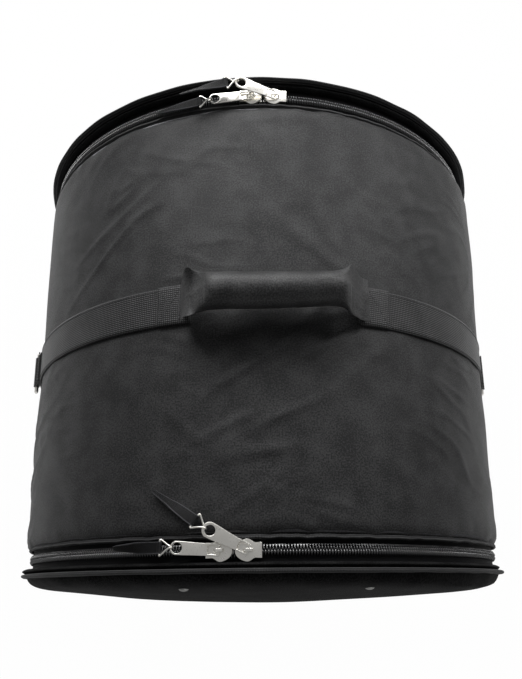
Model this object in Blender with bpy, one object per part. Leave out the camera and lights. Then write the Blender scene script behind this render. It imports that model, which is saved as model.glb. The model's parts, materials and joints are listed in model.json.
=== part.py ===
"""Padded round bag for a bass drum, with a zipped lid at each end and a carry handle on a girth strap.

Metres, +Z up. The bag lies on its shell: its axis runs along Y, the front lid is at -Y and the handle is on top.
The origin is on the floor, under the middle of the flat that the padded shell rests on.
"""

import math

import bmesh
import bpy
from mathutils import Matrix, Vector

# Driving sizes of the shell
shell_diameter = 0.550
shell_length = 0.415
base_flat_width = 0.144
cover_thickness = 0.0012
foam_thickness = 0.008
lining_thickness = 0.0008
piece_gap = 0.0003

# Turned edge of the shell and the channel that the zip runs in
edge_turn_reach = 0.0095
edge_turn_drop = 0.0046
zip_channel_width = 0.0186
binding_width = 0.0038
binding_height = 0.0032

# Zip
tape_thickness = 0.0008
tape_hem = 0.0042
coil_height = 0.0030
coil_width = 0.0028
coil_split = 0.0006
post_room = 0.0027
zip_end_angle = math.radians(133.0)
stop_width = 0.0064
stop_length = 0.0032
stop_height = 0.0024

# Lid
rim_width = 0.0082
rim_lift = 0.0003
welt_width = 0.0030
welt_lean = 0.0043
welt_stand = 0.0050
welt_edge = 0.0014
dome_rise = 0.026
lid_floor_clearance = 0.0034
welt_bend_share = 0.15
lid_foam_thickness = 0.008
rivet_radius = 0.0043
rivet_height = 0.0018
rivet_edge_inset = 0.012
rivet_spread = 0.164
hinge_fabric_thickness = 0.0012

# Girth strap and carry handle
webbing_width = 0.040
webbing_thickness = 0.0016
strap_floor_lift = 0.0005
groove_slope = 0.006
handle_span = 0.176
handle_grip_length = 0.122
handle_grip_diameter = 0.031
handle_rise = 0.025
handle_end_width = 0.043
handle_end_thickness = 0.006
handle_sleeve_wall = 0.0015
handle_padding_inset = 0.009
handle_split = 0.132
patch_length = 0.033
patch_tuck = 0.008

# Side rings for a shoulder strap
ring_tab_angle = math.radians(80.0)
ring_tab_length = 0.026
ring_tab_width = 0.036
ring_wire = 0.0044
ring_width = 0.050
ring_depth = 0.030
ring_tilt = math.radians(7.0)

# Zip sliders, their pulls and ribbon tags
slider_length = 0.0228
slider_shoulder_width = 0.0182
slider_tail_width = 0.0128
slider_waist_width = 0.0118
slider_plate = 0.0014
slider_flange = 0.0012
slider_roof_gap = 0.0003
slider_floor_gap = 0.0012
slider_spacing = 0.0246
post_width = 0.0042
bridge_width = 0.0028
bridge_thickness = 0.0012
bridge_room = 0.0030
bridge_length = 0.0086
pull_length = 0.043
pull_thickness = 0.0015
pull_end_width = 0.0115
pull_base_width = 0.0102
pull_bar = 0.0017
pull_window_width = 0.0072
pull_window_length = 0.0088
pull_hole_diameter = 0.0077
link_wire = 0.0017
link_length = 0.0125
link_width = 0.0162
tag_length = 0.048
tag_width = 0.0102
tag_tip_width = 0.0040
tag_thickness = 0.0014
tag_loop = 0.0042

# Number of facets round the bag and round its hidden layers
bag_facets = 48
layer_facets = 24

# Sizes that follow from the driving ones
shell_radius = shell_diameter / 2
axis_height = math.sqrt(shell_radius**2 - (base_flat_width / 2) ** 2)
shell_edge = shell_length / 2
lip_reach = shell_edge + edge_turn_reach
zip_reach = lip_reach + zip_channel_width / 2
rim_reach = lip_reach + zip_channel_width
lip_radius = shell_radius - edge_turn_drop
# the flats of the faceted lip come nearer the axis than its corners, and the tape keeps clear of them
lip_flat = math.cos(math.pi / bag_facets)
tape_radius = (lip_radius - cover_thickness) * lip_flat - piece_gap
coil_radius = tape_radius + piece_gap
welt_reach = rim_reach + rim_width + piece_gap
dome_reach = welt_reach + welt_width + piece_gap
dome_radius = axis_height - lid_floor_clearance
rivet_ring_radius = dome_radius - rivet_edge_inset
strap_radius = shell_radius + piece_gap + webbing_thickness
patch_radius = strap_radius + piece_gap + webbing_thickness
handle_padding_length = handle_grip_length - 2 * handle_padding_inset

FRONT, BACK = -1, 1
LEFT, RIGHT = -1, 1

# Finishes: colour, roughness, metallic
FINISHES = {
    "cover_fabric": ((0.022, 0.022, 0.024), 0.75, 0.0),
    "lid_fabric": ((0.014, 0.014, 0.016), 0.72, 0.0),
    "foam": ((0.20, 0.20, 0.21), 0.95, 0.0),
    "lining_fabric": ((0.03, 0.03, 0.032), 0.9, 0.0),
    "binding_tape": ((0.012, 0.012, 0.013), 0.8, 0.0),
    "zip_tape": ((0.010, 0.010, 0.011), 0.85, 0.0),
    "zip_coil": ((0.05, 0.05, 0.052), 0.4, 0.0),
    "webbing": ((0.016, 0.016, 0.018), 0.8, 0.0),
    "bright_metal": ((0.78, 0.77, 0.73), 0.28, 1.0),
    "ribbon": ((0.012, 0.012, 0.016), 0.55, 0.0),
}


def clear_scene():
    for old in list(bpy.data.objects):
        bpy.data.objects.remove(old, do_unlink=True)


def finish(name):
    """The Principled material of this finish, made once."""
    found = bpy.data.materials.get(name)
    if found:
        return found
    colour, roughness, metallic = FINISHES[name]
    made = bpy.data.materials.new(name)
    made.use_nodes = True
    shader = made.node_tree.nodes["Principled BSDF"]
    shader.inputs["Base Color"].default_value = (*colour, 1.0)
    shader.inputs["Roughness"].default_value = roughness
    shader.inputs["Metallic"].default_value = metallic
    return made


def add_object(name, bm, finish_name, sharp_angle=math.radians(40.0)):
    """Turns a bmesh into a named, smooth-shaded object with its faces pointing out."""
    bmesh.ops.remove_doubles(bm, verts=bm.verts, dist=piece_gap / 100)
    bmesh.ops.recalc_face_normals(bm, faces=bm.faces)
    mesh = bpy.data.meshes.new(name)
    bm.to_mesh(mesh)
    bm.free()
    mesh.shade_smooth()
    mesh.set_sharp_from_angle(angle=sharp_angle)
    obj = bpy.data.objects.new(name, mesh)
    obj.data.materials.append(finish(finish_name))
    bpy.context.scene.collection.objects.link(obj)
    return obj


def move_origin(obj, point):
    """Puts the object's origin on its joint without moving its surface."""
    obj.data.transform(Matrix.Translation(-Vector(point)))
    obj.location = point


# Round pieces: a section is carried round the bag's axis, and flattened where the bag lies on the floor


def ring_point(side, reach, radius, angle, lift):
    across, up = radius * math.sin(angle), radius * math.cos(angle)
    floor = lift - axis_height
    if up < floor:
        across, up = across * floor / up, floor
    return Vector((across, side * reach, axis_height + up))


def layered(section, skin=shell_radius, lift=0):
    """Gives each (reach, radius) of a section its height over the floor: its depth below the skin."""
    return [(reach, radius, max(skin - radius, 0) + lift) for reach, radius in section]


def carried_round(name, side, section, angles, whole, finish_name, shift=None):
    """Sweeps a closed section of (reach, radius, lift) through the angles; shift moves a point along the axis."""
    bm = bmesh.new()
    loops = []
    for angle in angles:
        loop = []
        for number, (reach, radius, lift) in enumerate(section):
            moved = reach + (shift(number, angle) if shift else 0)
            loop.append(bm.verts.new(ring_point(side, moved, radius, angle, lift)))
        loops.append(loop)
    pairs = list(zip(loops, loops[1:]))
    if whole:
        pairs.append((loops[-1], loops[0]))
    else:
        bm.faces.new(loops[0])
        bm.faces.new(loops[-1])
    for here, there in pairs:
        for k in range(len(section)):
            n = (k + 1) % len(section)
            bm.faces.new((here[k], here[n], there[n], there[k]))
    return add_object(name, bm, finish_name)


def round_angles(count):
    return [2 * math.pi * k / count for k in range(count)]


def arc_angles(start, end, extra=()):
    """Angles from start to end on the bag's own facets, with the ends and any extra ones."""
    step = 2 * math.pi / bag_facets
    inner = [k * step for k in range(math.ceil(start / step), math.floor(end / step) + 1)]
    near = [start, end, *extra]
    kept = [a for a in inner if all(abs(a - b) > step / 4 for b in near)]
    return sorted(near + kept)


# Shell


def groove_stations():
    """Reaches where the shell's underside rises over the girth strap, and how far."""
    deep = webbing_width / 2 + piece_gap
    rise = webbing_thickness + 2 * piece_gap + strap_floor_lift
    return [(-deep - groove_slope, 0), (-deep, rise), (deep, rise), (deep + groove_slope, 0)]


def shell_layer(name, outer, inner, ends, count, finish_name, grooved):
    """A tube of the shell; ends are the (reach, drop) steps of its turned edge, from the straight part outwards."""
    grooves = groove_stations() if grooved else []
    outside = [(-reach, outer - drop, 0) for reach, drop in reversed(ends)]
    outside += [(reach, outer, rise) for reach, rise in grooves]
    outside += [(reach, outer - drop, 0) for reach, drop in ends]
    wall = outer - inner
    inside = [(reach, radius - wall, rise if outer == shell_radius else 0) for reach, radius, rise in outside]
    if not grooved or outer != shell_radius:
        inside = [inside[0], inside[-1]]
    section = [(reach, radius, shell_radius - radius + rise) for reach, radius, rise in outside + inside[::-1]]
    carried_round(name, BACK, section, round_angles(count), True, finish_name)


def turned_edge():
    """The padded edge rounds in towards the zip seam."""
    steps = [0, math.radians(32), math.radians(62), math.radians(90)]
    return [
        (shell_edge + edge_turn_reach * math.sin(t), edge_turn_drop * (1 - math.cos(t))) for t in steps
    ]


def build_shell():
    shell_layer(
        "shell_cover",
        shell_radius,
        shell_radius - cover_thickness,
        turned_edge(),
        bag_facets,
        "cover_fabric",
        True,
    )
    foam_outer = shell_radius - cover_thickness - piece_gap
    foam_inner = foam_outer - foam_thickness
    foam_end = [(shell_edge, 0)]
    shell_layer("shell_foam", foam_outer, foam_inner, foam_end, layer_facets, "foam", True)
    lining_outer = foam_inner - piece_gap
    lining_end = [(lip_reach - binding_width - 2 * piece_gap, 0)]
    lining_inner = lining_outer - lining_thickness
    shell_layer("shell_lining", lining_outer, lining_inner, lining_end, layer_facets, "lining_fabric", False)


def build_edge_binding(side, end_name):
    """Tape folded over the raw edges of the seam, inside the shell's lip."""
    top = tape_radius - tape_thickness - piece_gap
    outer_end = lip_reach - piece_gap
    section = [
        (outer_end, top),
        (outer_end, top - binding_height),
        (outer_end - binding_width, top - binding_height),
        (outer_end - binding_width, top),
    ]
    angles = round_angles(layer_facets)
    carried_round(f"edge_binding_{end_name}", side, layered(section), angles, True, "binding_tape")


# Zips: two coils on two tapes, shut except between the two sliders, where the posts hold them apart

junction_angles = {FRONT: math.radians(-8.2), BACK: math.radians(-2.1)}


def open_share(side, angle):
    """How far the chain is pushed open at this angle: 1 between the posts, 0 past the sliders' throats."""
    along = abs(angle - junction_angles[side]) * coil_radius
    throat = slider_spacing / 2
    shut, wide = throat + post_width / 4, throat - slider_length / 4
    return min(max((shut - along) / (shut - wide), 0), 1)


def zip_angles(side):
    middle = junction_angles[side]
    throat = slider_spacing / 2
    spots = [throat + post_width / 4, throat - slider_length / 4]
    extra = [middle + hand * spot / coil_radius for spot in spots for hand in (LEFT, RIGHT)]
    return arc_angles(-zip_end_angle, zip_end_angle, extra)


def build_zip_half(side, end_name, owner, out):
    """Tape and coil on one side of the split; out is -1 towards the shell and 1 towards the lid."""
    split = coil_split / 2
    hem_end = zip_channel_width / 2 + tape_hem
    near, far = zip_reach + out * split, zip_reach + out * hem_end
    tape = [
        (near, tape_radius),
        (far, tape_radius),
        (far, tape_radius - tape_thickness),
        (near, tape_radius - tape_thickness),
    ]
    coil_far = zip_reach + out * (split + coil_width)
    shoulder = coil_height / 4
    coil = [
        (near, coil_radius),
        (near, coil_radius + coil_height - shoulder),
        (near + out * shoulder, coil_radius + coil_height),
        (coil_far - out * shoulder, coil_radius + coil_height),
        (coil_far, coil_radius + coil_height - shoulder),
        (coil_far, coil_radius),
    ]

    def spread_tape(number, angle):
        return out * post_room * open_share(side, angle) if number in (0, 3) else 0

    def spread_coil(_number, angle):
        return out * post_room * open_share(side, angle)

    angles = zip_angles(side)
    tape_angles = [
        -zip_end_angle - (stop_length + 2 * piece_gap) / coil_radius,
        *angles,
        zip_end_angle + (stop_length + 2 * piece_gap) / coil_radius,
    ]
    name = f"{end_name}_{owner}"
    carried_round(f"zip_tape_{name}", side, layered(tape), tape_angles, False, "zip_tape", spread_tape)
    carried_round(f"zip_coil_{name}", side, layered(coil), angles, False, "zip_coil", spread_coil)


def on_zip(side, angle, radius):
    """Frame on the zip's centre line: X along the zip towards +angle, Z outwards; Y makes it right-handed."""
    tangent = Vector((math.cos(angle), 0, -math.sin(angle)))
    normal = Vector((math.sin(angle), 0, math.cos(angle)))
    return frame_of(tangent, normal, ring_point(side, zip_reach, radius, angle, 0))


def frame_of(along, normal, origin):
    across = normal.cross(along)
    turned = Matrix((along, across, normal)).transposed().to_4x4()
    return Matrix.Translation(origin) @ turned


def build_end_stops(side, end_name):
    for hand, hand_name in ((LEFT, "left"), (RIGHT, "right")):
        turn = hand * (zip_end_angle + (stop_length / 2 + piece_gap) / coil_radius)
        far, wide, cut = stop_length / 2, stop_width / 2, stop_length / 5
        corner = [(far, wide - cut), (far - cut, wide), (cut - far, wide), (-far, wide - cut)]
        bm = thick_plate(corner + [(-x, -y) for x, y in corner], [], stop_height)
        bm.transform(on_zip(side, turn, coil_radius + stop_height / 2 + piece_gap))
        add_object(f"zip_stop_{end_name}_{hand_name}", bm, "bright_metal")


# Lids


dome_shares = (0, 0.25, 0.5, 0.75, 1)


def dome_point(share, depth):
    """A point of the padded panel's section, depth below its skin; share runs from 0 at the edge to 1 at the axis."""
    turn = share * math.pi / 2
    radius = (dome_radius - depth) * math.cos(turn)
    reach = dome_reach + (dome_rise - depth) * math.sin(turn)
    return (reach, max(radius, 0), 0)


def dome_layer(name, side, outer_depth, inner_depth, count, finish_name):
    outside = [dome_point(share, outer_depth) for share in dome_shares]
    inside = [dome_point(share, inner_depth) for share in dome_shares]
    carried_round(name, side, outside + inside[::-1], round_angles(count), True, finish_name)


def build_lid(side, end_name):
    foam_top = cover_thickness + piece_gap
    foam_bottom = foam_top + lid_foam_thickness
    lining_top = foam_bottom + piece_gap
    dome_layer(f"lid_cover_{end_name}", side, 0, cover_thickness, bag_facets, "lid_fabric")
    dome_layer(f"lid_foam_{end_name}", side, foam_top, foam_bottom, layer_facets, "foam")
    lining_bottom = lining_top + lining_thickness
    lining_name = f"lid_lining_{end_name}"
    dome_layer(lining_name, side, lining_top, lining_bottom, layer_facets, "lining_fabric")
    build_rim(side, end_name)
    build_welt(side, end_name)
    build_rivets(side, end_name)


def build_rim(side, end_name):
    """Padded gusset between the zip and the lid's bound seam."""
    crest = rim_reach + rim_width * 0.4
    end = rim_reach + rim_width
    crown = shell_radius + rim_lift
    section = [
        (rim_reach, lip_radius),
        (crest, crown),
        (end, lip_radius),
        (end, lip_radius - cover_thickness),
        (crest, crown - cover_thickness - piece_gap),
        (rim_reach, lip_radius - cover_thickness),
    ]
    lifted = layered(section, crown)
    carried_round(f"lid_rim_{end_name}", side, lifted, round_angles(bag_facets), True, "lid_fabric")


def build_welt(side, end_name):
    """Bound seam allowances that stand out between the rim and the padded panel."""
    root = lip_radius - cover_thickness - 2 * piece_gap
    tip = shell_radius + welt_stand
    outer = welt_reach + welt_width
    section = [
        (welt_reach, root),
        (welt_reach + welt_lean, tip - welt_edge),
        (welt_reach + welt_lean + welt_edge, tip),
        (outer + welt_lean, tip - welt_edge),
        (outer - piece_gap, dome_radius + piece_gap),
        (outer - piece_gap, root),
    ]
    # on the floor the seam folds over, so its root lies close above its edge
    lifted = [(reach, radius, (tip - radius) * welt_bend_share) for reach, radius in section]
    carried_round(f"lid_welt_{end_name}", side, lifted, round_angles(bag_facets), True, "binding_tape")


def panel_seat(side, angle):
    """Point and outward normal of the panel's facet under a rivet."""
    step = 2 * math.pi / bag_facets
    first = math.floor(angle / step) * step
    near, wide, _ = dome_point(dome_shares[0], 0)
    far, narrow, _ = dome_point(dome_shares[1], 0)
    corner = ring_point(side, near, wide, first, 0)
    beside = ring_point(side, near, wide, first + step, 0)
    above = ring_point(side, far, narrow, first, 0)
    normal = (beside - corner).cross(above - corner).normalized()
    if normal.y * side < 0:
        normal.negate()
    spot = ring_point(side, near, rivet_ring_radius, angle, 0)
    spot.y += (corner - spot).dot(normal) / normal.y
    return spot, normal


def build_rivets(side, end_name):
    """Two domed rivet heads near the top edge of the lid's panel."""
    turn = math.asin(rivet_spread / 2 / rivet_ring_radius)
    for hand, hand_name in ((LEFT, "left"), (RIGHT, "right")):
        spot, outward = panel_seat(side, hand * turn)
        base = spot + outward * piece_gap
        bm = bmesh.new()
        sides = 12
        levels = [(1, 0), (1, 0.3), (0.72, 0.85), (0, 1)]
        rings = []
        for radius_share, height_share in levels:
            ring = []
            for k in range(sides):
                a = 2 * math.pi * k / sides
                radius = rivet_radius * radius_share
                ring.append(
                    bm.verts.new((radius * math.cos(a), radius * math.sin(a), rivet_height * height_share))
                )
            rings.append(ring)
        for lower, upper in zip(rings, rings[1:]):
            for k in range(sides):
                n = (k + 1) % sides
                bm.faces.new((lower[k], lower[n], upper[n], upper[k]))
        bm.faces.new(rings[0][::-1])
        along = Vector((0, 0, 1)).cross(outward).normalized()
        bm.transform(frame_of(along, outward, base))
        add_object(f"lid_rivet_{end_name}_{hand_name}", bm, "bright_metal")


def build_hinge_fabric(side, end_name):
    """The stretch of fabric under the bag, between the zip's two ends, that the lid folds down on."""
    section = [
        (lip_reach + piece_gap, lip_radius),
        (rim_reach - piece_gap, lip_radius),
        (rim_reach - piece_gap, lip_radius - hinge_fabric_thickness),
        (lip_reach + piece_gap, lip_radius - hinge_fabric_thickness),
    ]
    past_stop = zip_end_angle + (stop_length + 4 * piece_gap) / coil_radius
    angles = arc_angles(past_stop, 2 * math.pi - past_stop)
    lifted = layered(section, lip_radius, strap_floor_lift)
    carried_round(f"lid_hinge_{end_name}", side, lifted, angles, False, "cover_fabric")


# Girth strap and handle


def build_strap():
    """Webbing sewn right round the shell, from one end of the handle to the other."""
    start = (handle_span / 2 - patch_tuck) / shell_radius
    half = webbing_width / 2
    base = strap_radius - webbing_thickness
    section = [(-half, strap_radius), (half, strap_radius), (half, base), (-half, base)]
    lifted = layered(section, strap_radius, strap_floor_lift)
    angles = arc_angles(start, 2 * math.pi - start)
    carried_round("girth_strap", BACK, lifted, angles, False, "webbing")


def build_patches():
    """Ends of the handle's own webbing, sewn down on the strap."""
    start = (handle_span / 2 - patch_tuck) / shell_radius
    half = webbing_width / 2
    base = patch_radius - webbing_thickness
    section = [(-half, patch_radius), (half, patch_radius), (half, base), (-half, base)]
    for hand, hand_name in ((LEFT, "left"), (RIGHT, "right")):
        span = [start + patch_length / shell_radius * k / 2 for k in range(3)]
        angles = [hand * a for a in span]
        lifted = layered(section, patch_radius)
        carried_round(f"handle_patch_{hand_name}", BACK, lifted, angles, False, "webbing")


def handle_underside(x):
    """Height of the handle's underside: level in the grip, then down to the sewn patch at both ends."""
    far = handle_span / 2
    near = handle_grip_length / 2 - handle_end_width / 4
    level = axis_height + shell_radius + handle_rise - handle_grip_diameter / 2
    radius = patch_radius + 2 * piece_gap
    low = axis_height + math.sqrt(radius**2 - far**2)
    slope = -far / math.sqrt(radius**2 - far**2)
    t = min(max((abs(x) - near) / (far - near), 0), 1)
    drop = level * (2 * t**3 - 3 * t**2 + 1) + low * (3 * t**2 - 2 * t**3)
    return drop + (far - near) * slope * (t**3 - t**2)


def handle_size(x):
    """Half width and half thickness of the sleeve: round in the grip, flared and flat at the ends."""
    start = handle_grip_length / 2 - handle_end_width / 6
    t = min(max((abs(x) - start) / (handle_span / 2 - start), 0), 1)
    ease = t * t * (3 - 2 * t)
    grip = handle_grip_diameter / 2
    wide = grip + (handle_end_width / 2 - grip) * ease
    thick = grip + (handle_end_thickness / 2 - grip) * ease
    return wide, thick


def handle_centre(x):
    _wide, thick = handle_size(x)
    return Vector((x, 0, handle_underside(x) + thick))


def handle_ring(x, inset, count):
    """Points of the sleeve's section at x, in an upright plane so that the grip clears the sewn ends."""
    step = handle_span / 1000
    along = (handle_centre(x + step) - handle_centre(x - step)).normalized()
    wide, thick = handle_size(x)
    tall = thick / along.x
    # where the sleeve flattens on to the patch its underside keeps its height, however steep it is
    flat_share = 1 - (2 * thick / handle_grip_diameter) ** 2
    centre = handle_centre(x) + Vector((0, 0, (tall - thick) * flat_share))
    ring = []
    for k in range(count):
        a = 2 * math.pi * (k + 0.5) / count
        across = (wide - inset) * math.cos(a)
        up = (tall - inset) * math.sin(a)
        ring.append(centre + Vector((0, across, up)))
    return ring


def lofted(name, outer_rings, inner_rings, finish_name):
    """A bar through the outer rings, with a bore through the inner rings where there are any."""
    bm = bmesh.new()
    outer = [[bm.verts.new(p) for p in ring] for ring in outer_rings]
    inner = [[bm.verts.new(p) for p in ring] for ring in inner_rings]
    for rings in (outer, inner):
        for here, there in zip(rings, rings[1:]):
            for k in range(len(here)):
                n = (k + 1) % len(here)
                bm.faces.new((here[k], here[n], there[n], there[k]))
    for end in (0, -1):
        if not inner:
            bm.faces.new(outer[end])
            continue
        for k in range(len(outer[end])):
            n = (k + 1) % len(outer[end])
            bm.faces.new((outer[end][k], outer[end][n], inner[end][n], inner[end][k]))
    return add_object(name, bm, finish_name)


def build_handle():
    facets = 16
    half = handle_split / 2
    stations = [-1, -0.86, -0.7, -0.35, 0.35, 0.7, 0.86, 1]
    outer = [handle_ring(half * s, 0, facets) for s in stations]
    inner = [handle_ring(half * s, handle_sleeve_wall, facets) for s in stations]
    sleeve = lofted("handle_sleeve", outer, inner, "cover_fabric")
    build_handle_padding(facets)
    low = handle_centre(handle_span / 2).z
    for name in ("handle_sleeve", "handle_padding"):
        move_origin(bpy.data.objects[name], (0, 0, low))
    build_handle_ends(facets, half)
    return sleeve


def build_handle_padding(facets):
    """The foam core of the grip."""
    inset = handle_sleeve_wall + piece_gap
    half = handle_padding_length / 2
    rings = [handle_ring(half * s, inset, facets) for s in (-1, -0.5, 0.5, 1)]
    lofted("handle_padding", rings, [], "foam")


def build_handle_ends(facets, half):
    """The flared ends of the sleeve, flattened and sewn down on the strap."""
    start = half + piece_gap
    for hand, hand_name in ((LEFT, "left"), (RIGHT, "right")):
        spots = [start + (handle_span / 2 - start) * share for share in (0, 0.35, 0.7, 1)]
        rings = [handle_ring(hand * x, 0, facets) for x in spots]
        lofted(f"handle_end_{hand_name}", rings, [], "cover_fabric")


# Flat and bent pieces: an outline with holes, given a thickness


def thick_plate(outline, holes, thickness):
    """A bmesh of the outline, less its holes, from z = -thickness / 2 to thickness / 2."""
    bm = bmesh.new()
    edges = []
    for loop in [outline, *holes]:
        verts = [bm.verts.new((x, y, -thickness / 2)) for x, y in loop]
        edges += [bm.edges.new((verts[k], verts[(k + 1) % len(verts)])) for k in range(len(verts))]
    bmesh.ops.triangle_fill(bm, edges=edges, use_beauty=True, normal=(0, 0, 1))
    made = bmesh.ops.extrude_face_region(bm, geom=bm.faces[:])
    top = [v for v in made["geom"] if isinstance(v, bmesh.types.BMVert)]
    bmesh.ops.translate(bm, verts=top, vec=(0, 0, thickness))
    bmesh.ops.recalc_face_normals(bm, faces=bm.faces)
    return bm


def circle(x, y, radius, count):
    return [
        (x + radius * math.cos(2 * math.pi * k / count), y + radius * math.sin(2 * math.pi * k / count))
        for k in range(count)
    ]


def wire_loop(points, radius, count):
    """A closed loop of round wire through the points, which may leave one plane."""
    bm = bmesh.new()
    rings = []
    total = len(points)
    centre = sum(points, Vector()) / total
    for k, here in enumerate(points):
        before = (here - points[k - 1]).normalized()
        after = (points[(k + 1) % total] - here).normalized()
        along = (before + after).normalized()
        out = here - centre
        out = (out - along * out.dot(along)).normalized()
        stretch = 1 / max(math.sqrt((1 + before.dot(after)) / 2), 0.5)
        up = along.cross(out)
        ring = []
        for j in range(count):
            a = 2 * math.pi * j / count
            ring.append(bm.verts.new(here + out * (radius * stretch * math.cos(a)) + up * (radius * math.sin(a))))
        rings.append(ring)
    for k, here in enumerate(rings):
        there = rings[(k + 1) % total]
        for j in range(count):
            n = (j + 1) % count
            bm.faces.new((here[j], here[n], there[n], there[j]))
    return bm


def united(name, pieces, finish_name):
    """Joins overlapping solids into one body."""
    made = []
    for number, bm in enumerate(pieces):
        mesh = bpy.data.meshes.new(f"{name}_piece_{number}")
        bm.to_mesh(mesh)
        bm.free()
        obj = bpy.data.objects.new(mesh.name, mesh)
        bpy.context.scene.collection.objects.link(obj)
        made.append(obj)
    base = made[0]
    for other in made[1:]:
        joint = base.modifiers.new("join", "BOOLEAN")
        joint.operation = "UNION"
        joint.solver = "EXACT"
        joint.object = other
    bpy.context.view_layer.update()
    shape = bpy.data.meshes.new_from_object(base.evaluated_get(bpy.context.evaluated_depsgraph_get()))
    for obj in made:
        bpy.data.objects.remove(obj, do_unlink=True)
    bm = bmesh.new()
    bm.from_mesh(shape)
    return add_object(name, bm, finish_name, math.radians(35.0))


# Side rings


def build_side_ring(hand, hand_name):
    """A doubled webbing tab on the strap, folded round the straight bar of a wire ring."""
    angle = hand * ring_tab_angle
    down = Vector((hand * math.cos(ring_tab_angle), 0, -math.sin(ring_tab_angle)))
    out = Vector((math.sin(angle), 0, math.cos(angle)))
    loop_radius = ring_wire / 2 + piece_gap + webbing_thickness
    bar_height = loop_radius
    bar = ring_point(BACK, 0, strap_radius + piece_gap, angle, 0) + out * bar_height
    low, high = -loop_radius, -loop_radius + 2 * webbing_thickness
    # the tab lies back along the strap, so its free end keeps to the strap's curve
    spots = [share * ring_tab_length for share in (0.3, 0.65, 1)]
    under = [(-s, low - s * s / 2 / strap_radius) for s in spots]
    over = [(-s, high - s * s / 2 / strap_radius) for s in reversed(spots)]
    turn = [math.radians(120 - 30 * k) for k in range(8)]
    nose = [(loop_radius * math.cos(t), loop_radius * math.sin(t)) for t in turn]
    outline = under + over + nose
    hole = circle(0, 0, ring_wire / 2 + piece_gap, 12)
    bm = thick_plate(outline, [hole], ring_tab_width)
    across = down.cross(out)
    place = Matrix((down, out, across)).transposed().to_4x4()
    bm.transform(Matrix.Translation(bar) @ place)
    add_object(f"ring_tab_{hand_name}", bm, "webbing")

    hang = (down * math.cos(ring_tilt) + out * math.sin(ring_tilt)).normalized()
    half = (ring_width - ring_wire) / 2
    deep = ring_depth - ring_wire
    points = [bar + Vector((0, y, 0)) for y in (-half, -half / 3, half / 3, half)]
    bend = [math.radians(20 * k) for k in range(1, 9)]
    points += [bar + Vector((0, half * math.cos(t), 0)) + hang * (deep * math.sin(t) ** 0.8) for t in bend]
    ring = add_object(f"side_ring_{hand_name}", wire_loop(points, ring_wire / 2, 6), "bright_metal")
    move_origin(ring, bar)


# Zip sliders


def slider_outline():
    """Half outline of a slider's plates, from the tail to the shoulders: (along, half width)."""
    half = slider_length / 2
    tail, waist, shoulder = slider_tail_width / 2, slider_waist_width / 2, slider_shoulder_width / 2
    return [
        (-half, tail),
        (-half * 0.78, tail),
        (-half * 0.52, waist),
        (-half * 0.28, waist + (shoulder - waist) * 0.35),
        (0, shoulder * 0.97),
        (half * 0.28, shoulder),
        (half * 0.58, shoulder * 0.86),
        (half * 0.84, shoulder * 0.55),
        (half, shoulder * 0.22),
    ]


def raised(bm, height):
    bmesh.ops.translate(bm, verts=bm.verts, vec=(0, 0, height))
    return bm


def slider_levels():
    """Heights over the tape's top: the floor plate's top, the roof plate's underside and the roof's top."""
    roof = coil_radius + coil_height + slider_roof_gap - tape_radius
    floor = -tape_thickness - slider_floor_gap
    return floor, roof, roof + slider_plate


def slider_pieces():
    """Floor plate, roof plate, side flanges, the post between the plates and the bridge over the roof."""
    floor, roof, top = slider_levels()
    half_outline = slider_outline()
    outline = half_outline + [(x, -y) for x, y in reversed(half_outline)]
    pieces = [raised(thick_plate(outline, [], slider_plate), floor - slider_plate / 2)]
    pieces.append(raised(thick_plate(outline, [], slider_plate), roof + slider_plate / 2))
    # the flanges stand a little inside the plate's edge and end above the tape
    wall = [(x + piece_gap, y - piece_gap) for x, y in half_outline[:6]]
    tall = roof - 3 * piece_gap + slider_plate / 2
    for hand in (LEFT, RIGHT):
        outer = [(x, hand * y) for x, y in wall]
        inner = [(x, hand * (y - slider_flange)) for x, y in reversed(wall)]
        pieces.append(raised(thick_plate(outer + inner, [], tall), roof + slider_plate / 2 - tall / 2))
    pieces.append(slider_post(floor, roof))
    pieces.append(slider_bridge(top))
    return pieces


def slider_post(floor, roof):
    """The wedge at the shoulders that parts the two coils."""
    half = slider_length / 2
    nose, heel = half * 0.28, half * 0.86
    wedge = [(nose, 0), (half * 0.66, post_width / 2), (heel, post_width / 2 * 0.7), (heel, -post_width / 2 * 0.7)]
    wedge.append((half * 0.66, -post_width / 2))
    tall = roof - floor + slider_plate
    return raised(thick_plate(wedge, [], tall), (roof + floor) / 2)


def slider_bridge(top):
    """The arch over the roof that the pull's bar turns under."""
    half = bridge_length / 2
    inner, outer = bridge_room, bridge_room + bridge_thickness
    sunk = -slider_plate / 2
    leg = half - bridge_thickness
    arch = [(-half, sunk), (-half, inner * 0.6), (-half * 0.72, outer), (half * 0.72, outer)]
    arch += [(half, inner * 0.6), (half, sunk), (leg, sunk), (leg, inner * 0.5)]
    arch += [(leg * 0.72, inner), (-leg * 0.72, inner), (-leg, inner * 0.5), (-leg, sunk)]
    bm = thick_plate(arch, [], bridge_width)
    stand = Matrix(((1, 0, 0), (0, 0, -1), (0, 1, 0))).to_4x4()
    bm.transform(Matrix.Translation((0, 0, top)) @ stand)
    return bm


def slider_frame(side, hand):
    """The slider's frame: X from its tail to its shoulders, which face the other slider."""
    angle = junction_angles[side] + hand * slider_spacing / 2 / coil_radius
    place = on_zip(side, angle, tape_radius)
    if hand == RIGHT:
        place = place @ Matrix.Rotation(math.pi, 4, "Z")
    return place, angle


# How each pull lies: yaw towards +Y and pitch off the zip
pull_lie = {
    (FRONT, LEFT): (math.radians(4), math.radians(0.5)),
    (FRONT, RIGHT): (math.radians(29), math.radians(4)),
    (BACK, LEFT): (math.radians(2), math.radians(0.5)),
    (BACK, RIGHT): (math.radians(29), math.radians(13)),
}
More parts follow.
